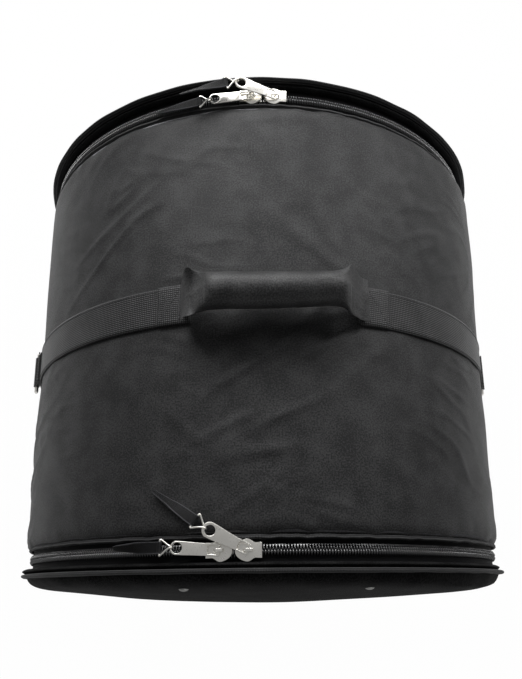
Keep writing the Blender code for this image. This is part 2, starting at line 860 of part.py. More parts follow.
# How each tag lies beyond its pull: extra yaw, and pitch against the pull
tag_lie = {
    (FRONT, LEFT): (math.radians(3), math.radians(-14)),
    (FRONT, RIGHT): (math.radians(5), math.radians(-14)),
    (BACK, LEFT): (math.radians(-2), math.radians(-14)),
    (BACK, RIGHT): (math.radians(4), math.radians(-18)),
}


def pull_frame(side, hand):
    """The pull's frame: X from its bar to its tip, Y along its hinge, Z off its face."""
    place, angle = slider_frame(side, hand)
    yaw, pitch = pull_lie[side, hand]
    _floor, _roof, top = slider_levels()
    bar = place @ Vector((0, 0, top + bridge_room / 2))
    left = Vector((-math.cos(angle), 0, math.sin(angle)))
    normal = Vector((math.sin(angle), 0, math.cos(angle)))
    flat = left * math.cos(yaw) + Vector((0, 1, 0)) * math.sin(yaw)
    along = flat * math.cos(pitch) + normal * math.sin(pitch)
    face = normal * math.cos(pitch) - flat * math.sin(pitch)
    return frame_of(along, face, bar)


def pull_solid():
    """A tapered plate with a window over the bridge, leaving the hinge bar, and a round hole at its tip."""
    half_bar, base, end = pull_bar / 2, pull_base_width / 2, pull_end_width / 2
    tip_centre = pull_length - end
    neck = pull_window_length + half_bar
    outline = [(-half_bar, base), (neck, base)]
    tip = [math.radians(90 - 30 * k) for k in range(7)]
    outline += [(tip_centre + end * math.cos(t), end * math.sin(t)) for t in tip]
    outline += [(neck, -base), (-half_bar, -base)]
    side = pull_window_width / 2
    window = [(half_bar, side), (neck, side), (neck, -side), (half_bar, -side)]
    hole = circle(tip_centre, 0, pull_hole_diameter / 2, 12)
    return thick_plate(outline, [window, hole], pull_thickness), tip_centre


def tag_frame(side, hand):
    """The tag's frame at the pull's hole: X towards the tag's tip, Z off its face."""
    place = pull_frame(side, hand)
    yaw, pitch = tag_lie[side, hand]
    tip_centre = pull_length - pull_end_width / 2
    rim = (pull_hole_diameter / 2 + pull_end_width / 2) / 2
    turned = Matrix.Rotation(yaw, 4, "Z") @ Matrix.Rotation(-pitch, 4, "Y")
    return place @ Matrix.Translation((tip_centre + rim, 0, 0)) @ turned


def link_solid():
    """A wire link: it stands upright in the pull's hole and twists flat to the bar that the ribbon is sewn round."""
    wire = link_wire / 2
    near = -(pull_end_width - pull_hole_diameter) / 4 - wire - 2 * piece_gap
    far = link_length + near
    rise = pull_thickness / 2 + wire + 2 * piece_gap
    wide = link_width / 2 - wire
    upper = [(near, 0, rise * 0.6), (near + wire, 0, rise), (-near, wide * 0.22, rise)]
    upper += [(far - wire, wide, wire / 2), (far, wide - wire, 0)]
    points = [Vector(p) for p in upper]
    points += [Vector((x, -y, -z)) for x, y, z in reversed(upper)]
    return wire_loop(points, wire, 6), far


def tag_solid(bar_at):
    """Ribbon folded round the link's bar, its two layers sewn together and tapered to a point."""
    half = tag_thickness / 2
    eye = tag_loop / 2
    outline = [(bar_at + eye * 1.6, half), (bar_at + tag_length * 0.62, half), (bar_at + tag_length, half * 0.5)]
    outline += [(x, -y) for x, y in reversed(outline)]
    turn = [math.radians(-60 - 40 * k) for k in range(7)]
    outline += [(bar_at + eye * math.cos(t), eye * math.sin(t)) for t in turn]
    hole = circle(bar_at, 0, link_wire / 2 + piece_gap, 10)
    bm = thick_plate(outline, [hole], tag_width)
    bm.transform(Matrix(((1, 0, 0), (0, 0, -1), (0, 1, 0))).to_4x4())
    for vert in bm.verts:
        past = (vert.co.x - bar_at - tag_length * 0.62) / (tag_length * 0.38)
        vert.co.y *= 1 - max(past, 0) * (1 - tag_tip_width / tag_width)
    return bm


def build_slider_set(side, end_name, hand, hand_name):
    """One slider with its pull, link and tag; each moving piece has its origin on its hinge."""
    name = f"{end_name}_{hand_name}"
    place, _angle = slider_frame(side, hand)
    pieces = slider_pieces()
    for bm in pieces:
        bm.transform(place)
    slider = united(f"slider_{name}", pieces, "bright_metal")
    move_origin(slider, (0, slider_middle(side), axis_height))
    bm, _tip = pull_solid()
    frame = pull_frame(side, hand)
    bm.transform(frame)
    move_origin(add_object(f"pull_{name}", bm, "bright_metal"), frame.translation)
    hook = tag_frame(side, hand)
    bm, bar_at = link_solid()
    bm.transform(hook)
    move_origin(add_object(f"pull_link_{name}", bm, "bright_metal"), hook.translation)
    bm = tag_solid(bar_at)
    bm.transform(hook)
    move_origin(add_object(f"pull_tag_{name}", bm, "ribbon"), hook.translation)


def slider_middle(side):
    return side * zip_reach


def build_end(side, end_name):
    """Everything of one end of the bag: its zip, its lid and its sliders."""
    build_edge_binding(side, end_name)
    build_zip_half(side, end_name, "shell", -1)
    build_zip_half(side, end_name, "lid", 1)
    build_end_stops(side, end_name)
    build_hinge_fabric(side, end_name)
    build_lid(side, end_name)
    for hand, hand_name in ((LEFT, "left"), (RIGHT, "right")):
        build_slider_set(side, end_name, hand, hand_name)


def main():
    clear_scene()
    build_shell()
    build_strap()
    build_patches()
    build_handle()
    for hand, hand_name in ((LEFT, "left"), (RIGHT, "right")):
        build_side_ring(hand, hand_name)
    for side, end_name in ((FRONT, "front"), (BACK, "back")):
        build_end(side, end_name)


main()
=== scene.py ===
"""Looks of the padded bass drum bag: cloth, webbing, zips, sliders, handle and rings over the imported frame.

Metres, +Z up, as the frame. The bag's axis runs along Y, the front lid is at -Y and the handle is on top.
"""

import json
import math

import bpy
import numpy as np
from mathutils import Matrix, Vector, noise


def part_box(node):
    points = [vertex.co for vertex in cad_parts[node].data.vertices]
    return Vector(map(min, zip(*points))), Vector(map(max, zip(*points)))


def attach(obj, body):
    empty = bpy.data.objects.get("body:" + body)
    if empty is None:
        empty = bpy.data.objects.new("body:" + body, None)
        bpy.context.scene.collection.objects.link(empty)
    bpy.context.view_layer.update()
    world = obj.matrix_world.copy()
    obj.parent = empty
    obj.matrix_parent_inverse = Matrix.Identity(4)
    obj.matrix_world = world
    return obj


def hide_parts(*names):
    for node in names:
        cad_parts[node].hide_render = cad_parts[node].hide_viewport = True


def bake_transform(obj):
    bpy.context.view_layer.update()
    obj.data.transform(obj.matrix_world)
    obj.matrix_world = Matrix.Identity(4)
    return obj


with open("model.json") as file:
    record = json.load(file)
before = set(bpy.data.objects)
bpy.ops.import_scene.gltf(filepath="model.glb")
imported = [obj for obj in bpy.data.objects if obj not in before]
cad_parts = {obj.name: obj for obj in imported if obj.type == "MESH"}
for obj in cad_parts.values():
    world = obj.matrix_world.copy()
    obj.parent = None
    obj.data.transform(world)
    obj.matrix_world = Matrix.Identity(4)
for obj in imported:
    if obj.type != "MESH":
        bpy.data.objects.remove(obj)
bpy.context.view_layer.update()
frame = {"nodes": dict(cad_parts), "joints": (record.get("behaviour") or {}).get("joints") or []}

mm = 0.001
FRONT, BACK = -1, 1
LEFT, RIGHT = -1, 1
ENDS = {"front": FRONT, "back": BACK}
HANDS = {"left": LEFT, "right": RIGHT}
full_turn = (-math.pi, math.pi)
weld = 0.02 * mm

# Sizes read from the frame
shell_low, shell_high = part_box("shell_cover")
shell_radius = (shell_high[0] - shell_low[0]) / 2
axis_height = shell_high[2] - shell_radius
lip_reach = shell_high[1]
stop_low, stop_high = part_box("zip_stop_back_left")
zip_reach = (stop_low[1] + stop_high[1]) / 2
rim_low, rim_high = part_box("lid_rim_back")
rim_reach, rim_end = rim_low[1], rim_high[1]
welt_low, welt_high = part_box("lid_welt_back")
welt_reach, welt_radius = welt_low[1], welt_high[0]
panel_low, panel_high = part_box("lid_cover_back")
panel_reach, panel_crest = panel_low[1], panel_high[1]
strap_half, strap_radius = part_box("girth_strap")[1][1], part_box("girth_strap")[1][0]
joints = {joint["name"]: joint for joint in frame["joints"]}


# Small tools


def deselect_all():
    for obj in bpy.context.selected_objects:
        obj.select_set(False)


def only(obj):
    """Makes this object the one that operators act on."""
    deselect_all()
    obj.select_set(True)
    bpy.context.view_layer.objects.active = obj


def named(name):
    obj = bpy.context.object
    obj.name = obj.data.name = name
    return obj


def open_mesh(obj):
    """Opens the mesh for editing, with all of it selected."""
    only(obj)
    bpy.ops.object.mode_set(mode="EDIT")
    bpy.ops.mesh.select_all(action="SELECT")


def close_mesh():
    bpy.ops.object.mode_set(mode="OBJECT")


def set_points(obj, points):
    obj.data.vertices.foreach_set("co", np.asarray(points, np.float32).ravel())
    obj.data.update()


def get_points(obj):
    flat = np.empty(len(obj.data.vertices) * 3, np.float32)
    obj.data.vertices.foreach_get("co", flat)
    return flat.reshape(-1, 3).astype(float)


def set_map(obj, along, across):
    """Lays the cloth's map, in metres, from a value for each point."""
    layer = obj.data.uv_layers.active
    layer.name = "cloth"
    corner = np.empty(len(obj.data.loops), np.int32)
    obj.data.loops.foreach_get("vertex_index", corner)
    layer.data.foreach_set("uv", np.stack([along, across], axis=-1)[corner].astype(np.float32).ravel())


def apply_modifier(obj, kind, **settings):
    only(obj)
    made = obj.modifiers.new(kind.lower(), kind)
    for key, value in settings.items():
        setattr(made, key, value)
    bpy.ops.object.modifier_apply(modifier=made.name)


def smooth(obj, degrees=40.0):
    only(obj)
    bpy.ops.object.shade_smooth_by_angle(angle=math.radians(degrees))


def place(obj, matrix):
    """Moves the mesh itself, so that the object stays at the origin."""
    obj.data.transform(matrix)
    obj.data.update()
    return obj


def raised(height):
    return Matrix.Translation((0, 0, height))


def hand_over(obj, body, material, slot, *nodes):
    """Gives a finished piece its body, its finish and the solids that it stands for."""
    obj.data.materials.clear()
    obj.data.materials.append(material)
    if body:
        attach(obj, body)
    if nodes:
        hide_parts(*nodes)


def joined(name, pieces):
    deselect_all()
    for piece in pieces:
        piece.select_set(True)
    bpy.context.view_layer.objects.active = pieces[0]
    if len(pieces) > 1:
        bpy.ops.object.join()
    return named(name)


def copies(name, unit, places):
    """One mesh that holds the unit at every place."""
    points = get_points(unit)
    loops = [tuple(face.vertices) for face in unit.data.polygons]
    all_points = np.concatenate([points @ np.array(m.to_3x3()).T + np.array(m.translation) for m in places])
    faces = [tuple(v + len(points) * k for v in loop) for k in range(len(places)) for loop in loops]
    mesh = bpy.data.meshes.new(name)
    mesh.from_pydata(all_points.tolist(), [], faces)
    obj = bpy.data.objects.new(name, mesh)
    bpy.context.scene.collection.objects.link(obj)
    bpy.data.objects.remove(unit, do_unlink=True)
    return obj


def block(name, size, rounding, segments=1):
    """A box with all its edges rounded."""
    deselect_all()
    bpy.ops.mesh.primitive_cube_add(size=1)
    obj = named(name)
    open_mesh(obj)
    bpy.ops.transform.resize(value=size)
    if rounding:
        bpy.ops.mesh.bevel(offset=rounding, segments=segments, affect="EDGES")
    close_mesh()
    return obj


def sheet(name, columns, rows):
    """A flat grid to bend, with each point's share along it and across it."""
    deselect_all()
    bpy.ops.mesh.primitive_grid_add(x_subdivisions=columns, y_subdivisions=rows, size=1)
    obj = named(name)
    flat = get_points(obj)
    return obj, flat[:, 0] + 0.5, flat[:, 1] + 0.5


def axes_at(origin, along, normal):
    """A frame with X along the piece and Z off its face."""
    along, normal = Vector(along).normalized(), Vector(normal).normalized()
    across = normal.cross(along).normalized()
    turned = Matrix((along, across, along.cross(across))).transposed().to_4x4()
    return Matrix.Translation(origin) @ turned


def middle_of(node):
    low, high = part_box(node)
    return Vector([(a + b) / 2 for a, b in zip(low, high)])


def reach_of(node):
    """Where this solid begins and ends along the bag's axis, counted from the bag's middle."""
    low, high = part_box(node)
    return sorted((abs(low[1]), abs(high[1])))


def in_mm(points):
    return [(x * mm, y * mm) for x, y in points]


def both_sides(upper, tip=()):
    """A closed outline from its upper half, whose lower half is the mirror image."""
    return [*upper, *tip, *((x, -y) for x, y in upper[::-1])]


# Places on the bag: reach along its axis, radius from it, and angle round it from the handle towards +X


def on_bag(reach, radius, angle, lift=0.0):
    """Points of the bag, flattened where it lies on the floor. Works on numbers or arrays."""
    across, up = radius * np.sin(angle), radius * np.cos(angle)
    floor = lift - axis_height
    low = up < floor
    shrink = np.where(low, floor / np.where(low, up, 1), 1)
    points = (across * shrink, reach + 0 * up, axis_height + np.where(low, floor, up))
    return np.stack(np.broadcast_arrays(*points), axis=-1)


def angle_of(spot):
    return math.atan2(spot[0], spot[2] - axis_height)


def outward_at(angle):
    return Vector((math.sin(angle), 0, math.cos(angle)))


def facing_out(spot, angle, towards=1):
    """A frame on the bag: X round it, to the right or to the left, and Z away from its axis."""
    return axes_at(spot, (towards * math.cos(angle), 0, -towards * math.sin(angle)), outward_at(angle))


def curve_through(points, count):
    """An even curve through (reach, radius) points, each given once, as arrays and its length so far."""
    given = np.array(points, float)
    ends = np.vstack([2 * given[0] - given[1], given, 2 * given[-1] - given[-2]])
    fine = []
    for a, b, c, d in zip(ends, ends[1:], ends[2:], ends[3:]):
        for t in np.linspace(0, 1, 12, endpoint=False):
            bend = (2 * a - 5 * b + 4 * c - d) * t**2 + (3 * b - a - 3 * c + d) * t**3
            fine.append(0.5 * (2 * b + (c - a) * t + bend))
    fine = np.array(fine + [given[-1]])
    steps = np.hypot(*np.diff(fine, axis=0).T)
    run = np.concatenate([[0], np.cumsum(steps)])
    even = np.linspace(0, run[-1], count)
    return np.interp(even, run, fine[:, 0]), np.interp(even, run, fine[:, 1]), even


def even_curve(points, count):
    x, y, _run = curve_through(points, count)
    return list(zip(x.tolist(), y.tolist()))


def ripple(around, along, seed, size):
    """Smooth seeded unevenness from -1 to 1, over arrays of metres."""
    flat = [
        noise.noise(Vector((a / size + seed * 7.31, b / size - seed * 3.17, seed * 1.7)))
        for a, b in zip(np.ravel(around), np.ravel(along))
    ]
    return np.array(flat).reshape(np.shape(around))


def girth_ripple(angle, seed, size):
    """Unevenness that changes only as it goes round the bag."""
    return ripple(angle * shell_radius, 0 * angle, seed, size)


def bell(distance, wide, power=2):
    """From 1 in the middle down to 0 well past this width."""
    return np.exp(-((distance / wide) ** power))


def point_away(mesh):
    """Turns an open cloth's faces away from the bag's axis."""
    total = 0.0
    for polygon in mesh.polygons:
        out = polygon.center - Vector((0, polygon.center.y, axis_height))
        total += polygon.area * polygon.normal.dot(out.normalized())
    if total < 0:
        mesh.flip_normals()
    mesh.update()


def cloth_band(name, side, profile, span, counts, skin, lift=0.0, thickness=0.0, uneven=None, spread=None):
    """Cloth carried round the bag: a grid wrapped on a smooth profile of (reach, radius), in metres.

    span is the first and last angle, and a full turn closes on itself. counts are the grid's steps round and
    along. skin is the radius of what touches the floor. uneven(angle, reach) pushes the cloth out, and
    spread(angle, reach) shifts it along the axis. The UV map holds metres round and along the cloth."""
    obj, share, height = sheet(name, *counts)
    reach, radius, run = curve_through(profile, counts[1] + 1)
    row = np.rint(height * counts[1]).astype(int)
    angle = span[0] + share * (span[1] - span[0])
    radii, reaches = radius[row], reach[row]
    if uneven is not None:
        radii = radii + uneven(angle, reaches)
    if spread is not None:
        reaches = reaches + spread(angle, reaches)
    lifts = np.maximum(skin - radii, 0) + lift
    set_points(obj, on_bag(side * reaches, radii, angle, lifts))
    set_map(obj, angle * shell_radius, run[row])
    if span == full_turn:
        open_mesh(obj)
        bpy.ops.mesh.remove_doubles(threshold=weld)
        close_mesh()
    point_away(obj.data)
    if thickness:
        apply_modifier(obj, "SOLIDIFY", thickness=thickness, offset=-1.0, use_even_offset=False)
    for polygon in obj.data.polygons:
        polygon.use_smooth = True
    return obj


# Materials: patterns are in metres on the cloth's own map, or on Object coordinates for rigid pieces


def grey(level, blue):
    return level, level, blue


def material(name, colour, roughness, metallic=0.0, sheen=0.0, shine=0.5):
    made = bpy.data.materials.new(name)
    made.use_nodes = True
    shader = made.node_tree.nodes["Principled BSDF"]
    looks = {"Base Color": (*colour, 1), "Roughness": roughness, "Metallic": metallic}
    looks |= {"Sheen Weight": sheen, "Sheen Roughness": 0.45, "Specular IOR Level": shine}
    for socket, value in looks.items():
        shader.inputs[socket].default_value = value
    return made, shader


def add_node(tree, kind, **settings):
    node = tree.nodes.new(kind)
    for key, value in settings.items():
        setattr(node, key, value)
    return node


def math_node(operation, a, b):
    """Works on the socket a, in its own node tree, with b a socket or a number."""
    tree = a.id_data
    node = add_node(tree, "ShaderNodeMath", operation=operation)
    tree.links.new(a, node.inputs[0])
    if isinstance(b, (int, float)):
        node.inputs[1].default_value = b
    else:
        tree.links.new(b, node.inputs[1])
    return node.outputs[0]


def times(a, b):
    return math_node("MULTIPLY", a, b)


def plus(a, b):
    return math_node("ADD", a, b)


def larger(a, b):
    return math_node("MAXIMUM", a, b)


def threads(source, direction, pitch):
    """Sine ridges of this pitch in metres, from 0 to 1."""
    wave = add_node(source.id_data, "ShaderNodeTexWave", wave_type="BANDS", bands_direction=direction)
    wave.inputs["Scale"].default_value = math.pi / 10 / pitch
    source.id_data.links.new(source, wave.inputs["Vector"])
    return wave.outputs["Fac"]


def patches(source, size, detail=2.0):
    cloud = add_node(source.id_data, "ShaderNodeTexNoise")
    cloud.inputs["Scale"].default_value = 1 / size
    cloud.inputs["Detail"].default_value = detail
    source.id_data.links.new(source, cloud.inputs["Vector"])
    return cloud.outputs["Fac"]


def tint(shader, factor, low, high):
    """Blends the base colour between two shades by the factor."""
    ramp = add_node(factor.id_data, "ShaderNodeMix", data_type="RGBA")
    ramp.inputs[6].default_value = (*low, 1)
    ramp.inputs[7].default_value = (*high, 1)
    factor.id_data.links.new(factor, ramp.inputs[0])
    factor.id_data.links.new(ramp.outputs[2], shader.inputs["Base Color"])
    return ramp


def bump(shader, height, strength, depth):
    node = add_node(height.id_data, "ShaderNodeBump")
    node.inputs["Strength"].default_value = strength
    node.inputs["Distance"].default_value = depth
    height.id_data.links.new(height, node.inputs["Height"])
    height.id_data.links.new(node.outputs["Normal"], shader.inputs["Normal"])


def cloth_map(made):
    return add_node(made.node_tree, "ShaderNodeUVMap", uv_map="cloth").outputs["UV"]


def object_map(made):
    return add_node(made.node_tree, "ShaderNodeTexCoord").outputs["Object"]


def woven_cloth(name, dark, light, roughness, thread=0.9 * mm, sheen=0.05, shine=0.25):
    """Plain weave with crossing threads, slubs and slow shade changes."""
    made, shader = material(name, dark, roughness, sheen=sheen, shine=shine)
    source = cloth_map(made)
    weave = times(threads(source, "X", thread), threads(source, "Y", thread))
    slub, cloud = patches(source, 1.5 * mm, 3.0), patches(source, 26 * mm, 3.0)
    mottle = plus(times(slub, 3.8), times(cloud, 1.9))
    tint(shader, plus(times(weave, 0.25), math_node("SUBTRACT", mottle, 2.5)), dark, light)
    bump(shader, plus(weave, times(slub, 0.8)), 0.5, 0.25 * mm)
    return made


def ribbed_webbing(name, dark, light, roughness, rib=1.6 * mm, pick=1.1 * mm, shine=0.25, painted_edge_highlight=None):
    """Webbing: ribs run along it, crossed by fine picks. A ribbon's edges are painted paler: a painted
    highlight along both edges.
    """
    made, shader = material(name, dark, roughness, sheen=0.04, shine=shine)
    source = cloth_map(made)
    ribs, picks = threads(source, "Y", rib), threads(source, "X", pick)
    dots = math_node("POWER", times(ribs, picks), 1.6)
    relief = plus(times(dots, 1.2), times(ribs, 0.3))
    shade = times(relief, plus(patches(source, 20 * mm), 0.3))
    # Paints a paler band along both edges of a ribbon: a painted highlight, not the ribbon's own colour.
    if painted_edge_highlight:
        split = add_node(made.node_tree, "ShaderNodeSeparateXYZ")
        made.node_tree.links.new(source, split.inputs[0])
        aside = math_node("ABSOLUTE", split.outputs["Y"], 0.0)
        shade = plus(shade, times(math_node("GREATER_THAN", aside, painted_edge_highlight), 9.0))
    ramp = tint(shader, shade, dark, light)
    if painted_edge_highlight:
        ramp.clamp_factor = False
    bump(shader, relief, 0.7, 0.35 * mm)
    return made


def plated_metal(name, dark, light, roughness):
    """Nickel plate with a fine grain and faint wear."""
    made, shader = material(name, light, roughness, metallic=1.0)
    source = object_map(made)
    grain = patches(source, 1.5 * mm, 4.0)
    tint(shader, patches(source, 8 * mm), dark, light)
    made.node_tree.links.new(plus(times(grain, 0.16), roughness - 0.08), shader.inputs["Roughness"])
    bump(shader, grain, 0.25, 0.05 * mm)
    return made


def moulded(name, dark, light, roughness, ior=1.5):
    made, shader = material(name, dark, roughness)
    source = object_map(made)
    shader.inputs["IOR"].default_value = ior
    tint(shader, patches(source, 6 * mm), dark, light)
    bump(shader, patches(source, 0.8 * mm), 0.2, 0.05 * mm)
    return made


def open_foam(name, dark, light):
    made, shader = material(name, dark, 0.95)
    cells = add_node(made.node_tree, "ShaderNodeTexVoronoi")
    cells.inputs["Scale"].default_value = 1 / (1.4 * mm)
    made.node_tree.links.new(object_map(made), cells.inputs["Vector"])
    tint(shader, cells.outputs["Distance"], dark, light)
    bump(shader, cells.outputs["Distance"], 0.6, 0.3 * mm)
    return made


cover_cloth = woven_cloth("cover_cloth", grey(0.008, 0.0085), grey(0.044, 0.045), 0.48, shine=0.24)
# The handle's sleeve is a lighter copy of the cover cloth: its paler colour is a painted highlight on the
# grip.
highlit_sleeve_cloth = woven_cloth("highlit_sleeve_cloth", grey(0.009, 0.0095), grey(0.062, 0.063), 0.42, shine=0.34)
# The lids' cloth is a darker copy of the cover cloth: its darkness is painted shade of the lids, which face
# away from the lamps.
shaded_lid_cloth = woven_cloth("shaded_lid_cloth", grey(0.004, 0.0042), grey(0.020, 0.0204), 0.6, sheen=0.0, shine=0.02)
lining_cloth = woven_cloth("lining_cloth", grey(0.020, 0.022), grey(0.040, 0.043), 0.8, thread=0.6 * mm)
# Binding tape: its pale shade is partly painted highlight, lightened so that the hem and the bound seam's
# crest look lit.
highlit_edge_tape = ribbed_webbing(
    "highlit_edge_tape", grey(0.012, 0.0125), grey(0.10, 0.102), 0.55, rib=3 * mm, pick=1.3 * mm, shine=0.1
)
zip_cloth = ribbed_webbing(
    "zip_cloth", grey(0.003, 0.0035), grey(0.012, 0.013), 0.6, rib=0.8 * mm, shine=0.05
)
webbing = ribbed_webbing(
    "webbing", grey(0.002, 0.0025), grey(0.135, 0.137), 0.4, rib=2.0 * mm, pick=2.0 * mm, shine=0.2
)
# The ribbon's pale edge band is a painted highlight.
ribbon = ribbed_webbing(
    "ribbon", grey(0.003, 0.0035), grey(0.010, 0.011), 0.35, rib=0.7 * mm, shine=0.15, painted_edge_highlight=4.3 * mm
)
nylon = moulded("nylon", grey(0.012, 0.013), grey(0.05, 0.052), 0.2, ior=1.95)
thread_black = moulded("thread_black", grey(0.012, 0.013), grey(0.03, 0.032), 0.55)
dull_metal = plated_metal("dull_metal", grey(0.16, 0.155), grey(0.34, 0.33), 0.4)
nickel = plated_metal("nickel", (0.84, 0.82, 0.77), (0.97, 0.95, 0.90), 0.3)
padding_foam = open_foam("padding_foam", grey(0.10, 0.11), grey(0.20, 0.21))


# Shell


def creases(around, along, seed, slant, long, wide):
    """Faint one-way folds from 0 to 1, long one way and narrow the other, slanted on the cloth."""
    u = around * math.cos(slant) + along * math.sin(slant)
    v = along * math.cos(slant) - around * math.sin(slant)
    bent = v + 0.25 * wide * ripple(u, v, seed + 1, long)
    ridge = bell(ripple(u / long, bent / wide, seed, 1.0), 0.16)
    return ridge * np.clip(ripple(u, v, seed + 2, 1.6 * long) * 2.2, 0, 1)


def pulled_folds(around, along):
    """Folds that run from the handle's right end over the far side, as the webbing draws on the cloth."""
    handle_end, strap_edge, fade_in, fade_out = 86 * mm, 20 * mm, 30 * mm, 110 * mm
    directions = (1.75, 2.12, 2.5)
    x, y = around - handle_end, along - strap_edge
    far, turn = np.hypot(x, y), np.arctan2(y, x)
    ridges = sum(bell((turn - at) * far, 4.5 * mm + 0.05 * far) for at in directions)
    return ridges * np.clip(far / fade_in, 0, 1) * bell(far, fade_out)


def shell_unevenness(angle, reach):
    """Slow swells of the padding, folds, a pucker at both edges, and the strap's pull in the middle."""
    edge_wide, pinch_wide, lean_start = 34 * mm, 9 * mm, 120 * mm
    around = angle * shell_radius
    across, up = np.sin(angle) * shell_radius, np.cos(angle) * shell_radius
    swell = 0.9 * mm * ripple(around, reach, 3, 160 * mm)
    swell += 1.0 * mm * ripple(up + 0.3 * reach, across + reach, 5, 60 * mm)
    near_edge = np.clip((np.abs(reach) - (lip_reach - edge_wide)) / edge_wide, 0, 1) ** 2
    pucker = 1.2 * mm * near_edge * ripple(around, 0.4 * reach, 9, 13 * mm)
    pucker += 1.4 * mm * near_edge * ripple(around, reach, 10, 45 * mm)
    folds = 1.5 * mm * creases(around, reach, 11, 0.6, 100 * mm, 26 * mm)
    folds += 0.8 * mm * creases(around, reach, 15, -0.3, 60 * mm, 18 * mm)
    folds += 1.7 * mm * pulled_folds(around, reach)
    lean = 3.5 * mm * np.clip(np.sin(angle), 0, 1) * np.clip(reach / lean_start, 0, 1)
    pinch = -0.3 * mm * bell(np.abs(reach) - strap_half, pinch_wide)
    return swell + pucker + folds + lean + pinch * (1 + 0.5 * ripple(around, reach, 4, 30 * mm))


def shell_profile():
    """The shell's skin from lip to lip, rolled in at both."""
    edge = lip_reach - 10 * mm
    flat = [(0, 0), (edge * 0.5, 0), (edge * 0.9, 0), (edge - 3 * mm, -0.2 * mm)]
    rolled = in_mm([(-7, -1.9), (-2.6, -4.4), (-0.8, -5.6), (-1.6, -6.4), (-5, -6.7)])
    half = [(reach, shell_radius + drop) for reach, drop in flat]
    half += [(lip_reach + reach, shell_radius + drop) for reach, drop in rolled]
    return [(-reach, radius) for reach, radius in half[:0:-1]] + half


def shell_scallops(angle, reaches):
    """The hems at both ends are drawn in between the stitches."""
    hem_wide = 9 * mm
    at_hem = np.clip((np.abs(reaches) - lip_reach + hem_wide) / hem_wide, 0, 1)
    return np.sign(reaches) * at_hem * (1.0 * mm * girth_ripple(angle, 17, 11 * mm) - 0.9 * mm)


def lining_slack(angle, reach):
    up, across = np.cos(angle) * shell_radius, np.sin(angle) * shell_radius
    return 0.5 * mm * ripple(up, across + reach, 6, 50 * mm) - 0.5 * mm


def make_shell():
    shell = cloth_band(
        "shell_fabric", 1, shell_profile(), full_turn, (432, 150), shell_radius, uneven=shell_unevenness,
        spread=shell_scallops,
    )
    raise_over_strap(shell)
    hand_over(shell, "bag", cover_cloth, "cover_fabric", "shell_cover")
    ends_at, bends_at = lip_reach - 6 * mm, lip_reach - 14 * mm
    wall = [(-ends_at, 7.2), (-bends_at, 2.2), (0, 2.0), (bends_at, 2.2), (ends_at, 7.2)]
    outer = [(reach, shell_radius - drop * mm) for reach, drop in wall]
    foam = cloth_band("shell_padding", 1, outer, full_turn, (96, 24), shell_radius, thickness=3 * mm)
    hand_over(foam, "bag", padding_foam, "foam", "shell_foam")
    lining_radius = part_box("shell_lining")[1][0] - 0.2 * mm
    ends_at, bends_at = lip_reach - 4.4 * mm, lip_reach - 30 * mm
    inner = [(reach, lining_radius) for reach in (-ends_at, -bends_at, 0, bends_at, ends_at)]
    lining = cloth_band(
        "shell_lining_cloth", 1, inner, full_turn, (192, 48), shell_radius, thickness=0.7 * mm,
        uneven=lining_slack,
    )
    hand_over(lining, "bag", lining_cloth, "lining_fabric", "shell_lining")
    for end_name, side in ENDS.items():
        make_hem(side, end_name)
        make_edge_binding(side, end_name)


def make_hem(side, end_name):
    """The shell's folded edge, sewn flat beside the zip."""
    fold = in_mm([(-3.8, -4.8), (-3.0, -2.8), (-1.6, -1.8), (-0.2, -2.0), (0.6, -3.2), (0.3, -5.4)])
    profile = [(lip_reach + reach, shell_radius + drop) for reach, drop in fold]

    def wave(angle, reach):
        return 0.7 * mm * girth_ripple(angle, 18, 12 * mm)

    def drawn(angle, reaches):
        return 0.9 * mm * girth_ripple(angle, 17, 11 * mm) - 0.3 * mm

    hem = cloth_band(
        f"shell_hem_{end_name}", side, profile, full_turn, (432, 10), shell_radius, thickness=0.5 * mm,
        uneven=wave, spread=drawn,
    )
    hand_over(hem, "bag", highlit_edge_tape, "binding_tape")


def raise_over_strap(shell):
    """The shell's underside stays above the strap that it rests on."""
    slope, clear = 6 * mm, 2.6 * mm
    points = get_points(shell)
    groove = np.clip((strap_half + 7 * mm - np.abs(points[:, 1])) / slope, 0, 1)
    points[:, 2] = np.maximum(points[:, 2], clear * groove)
    set_points(shell, points)


def make_edge_binding(side, end_name):
    """Tape folded over the seam inside the lip."""
    node = f"edge_binding_{end_name}"
    inner, outer = reach_of(node)
    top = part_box(node)[1][0]
    shallow, deep = top - 0.6 * mm, top - 2.6 * mm
    fold = [(outer, shallow), (outer - 0.3 * mm, deep), ((inner + outer) / 2, top - 3.1 * mm)]
    fold += [(inner + 0.3 * mm, deep), (inner, shallow)]
    binding = cloth_band(
        f"edge_binding_cloth_{end_name}", side, fold, full_turn, (192, 8), shell_radius, thickness=0.4 * mm
    )
    hand_over(binding, "bag", highlit_edge_tape, "binding_tape", node)


# Zips: tapes, and coils whose loops mesh except between the two sliders

zip_end = math.radians(133.0)
tape_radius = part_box("zip_tape_back_lid")[1][0]
coil_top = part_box("zip_coil_back_lid")[1][0]
loop_pitch = 2.6 * mm
loop_tall = 2.5 * mm
coil_span = 6.4 * mm
meshed = 1.5 * mm
parting = 2.7 * mm


def slider_angle(end_name, hand_name):
    return angle_of(joints[f"{end_name}_{hand_name}_pull_turns"]["pos_m"])


def parted(end_name, angle):
    """How far the chain is held open at this angle, from 0 outside the sliders to 1 between them."""
    left, right = slider_angle(end_name, "left"), slider_angle(end_name, "right")
    inside = np.minimum(angle - left, right - angle) * tape_radius
    return np.clip((inside + 1.0 * mm) / (6.5 * mm), 0, 1)


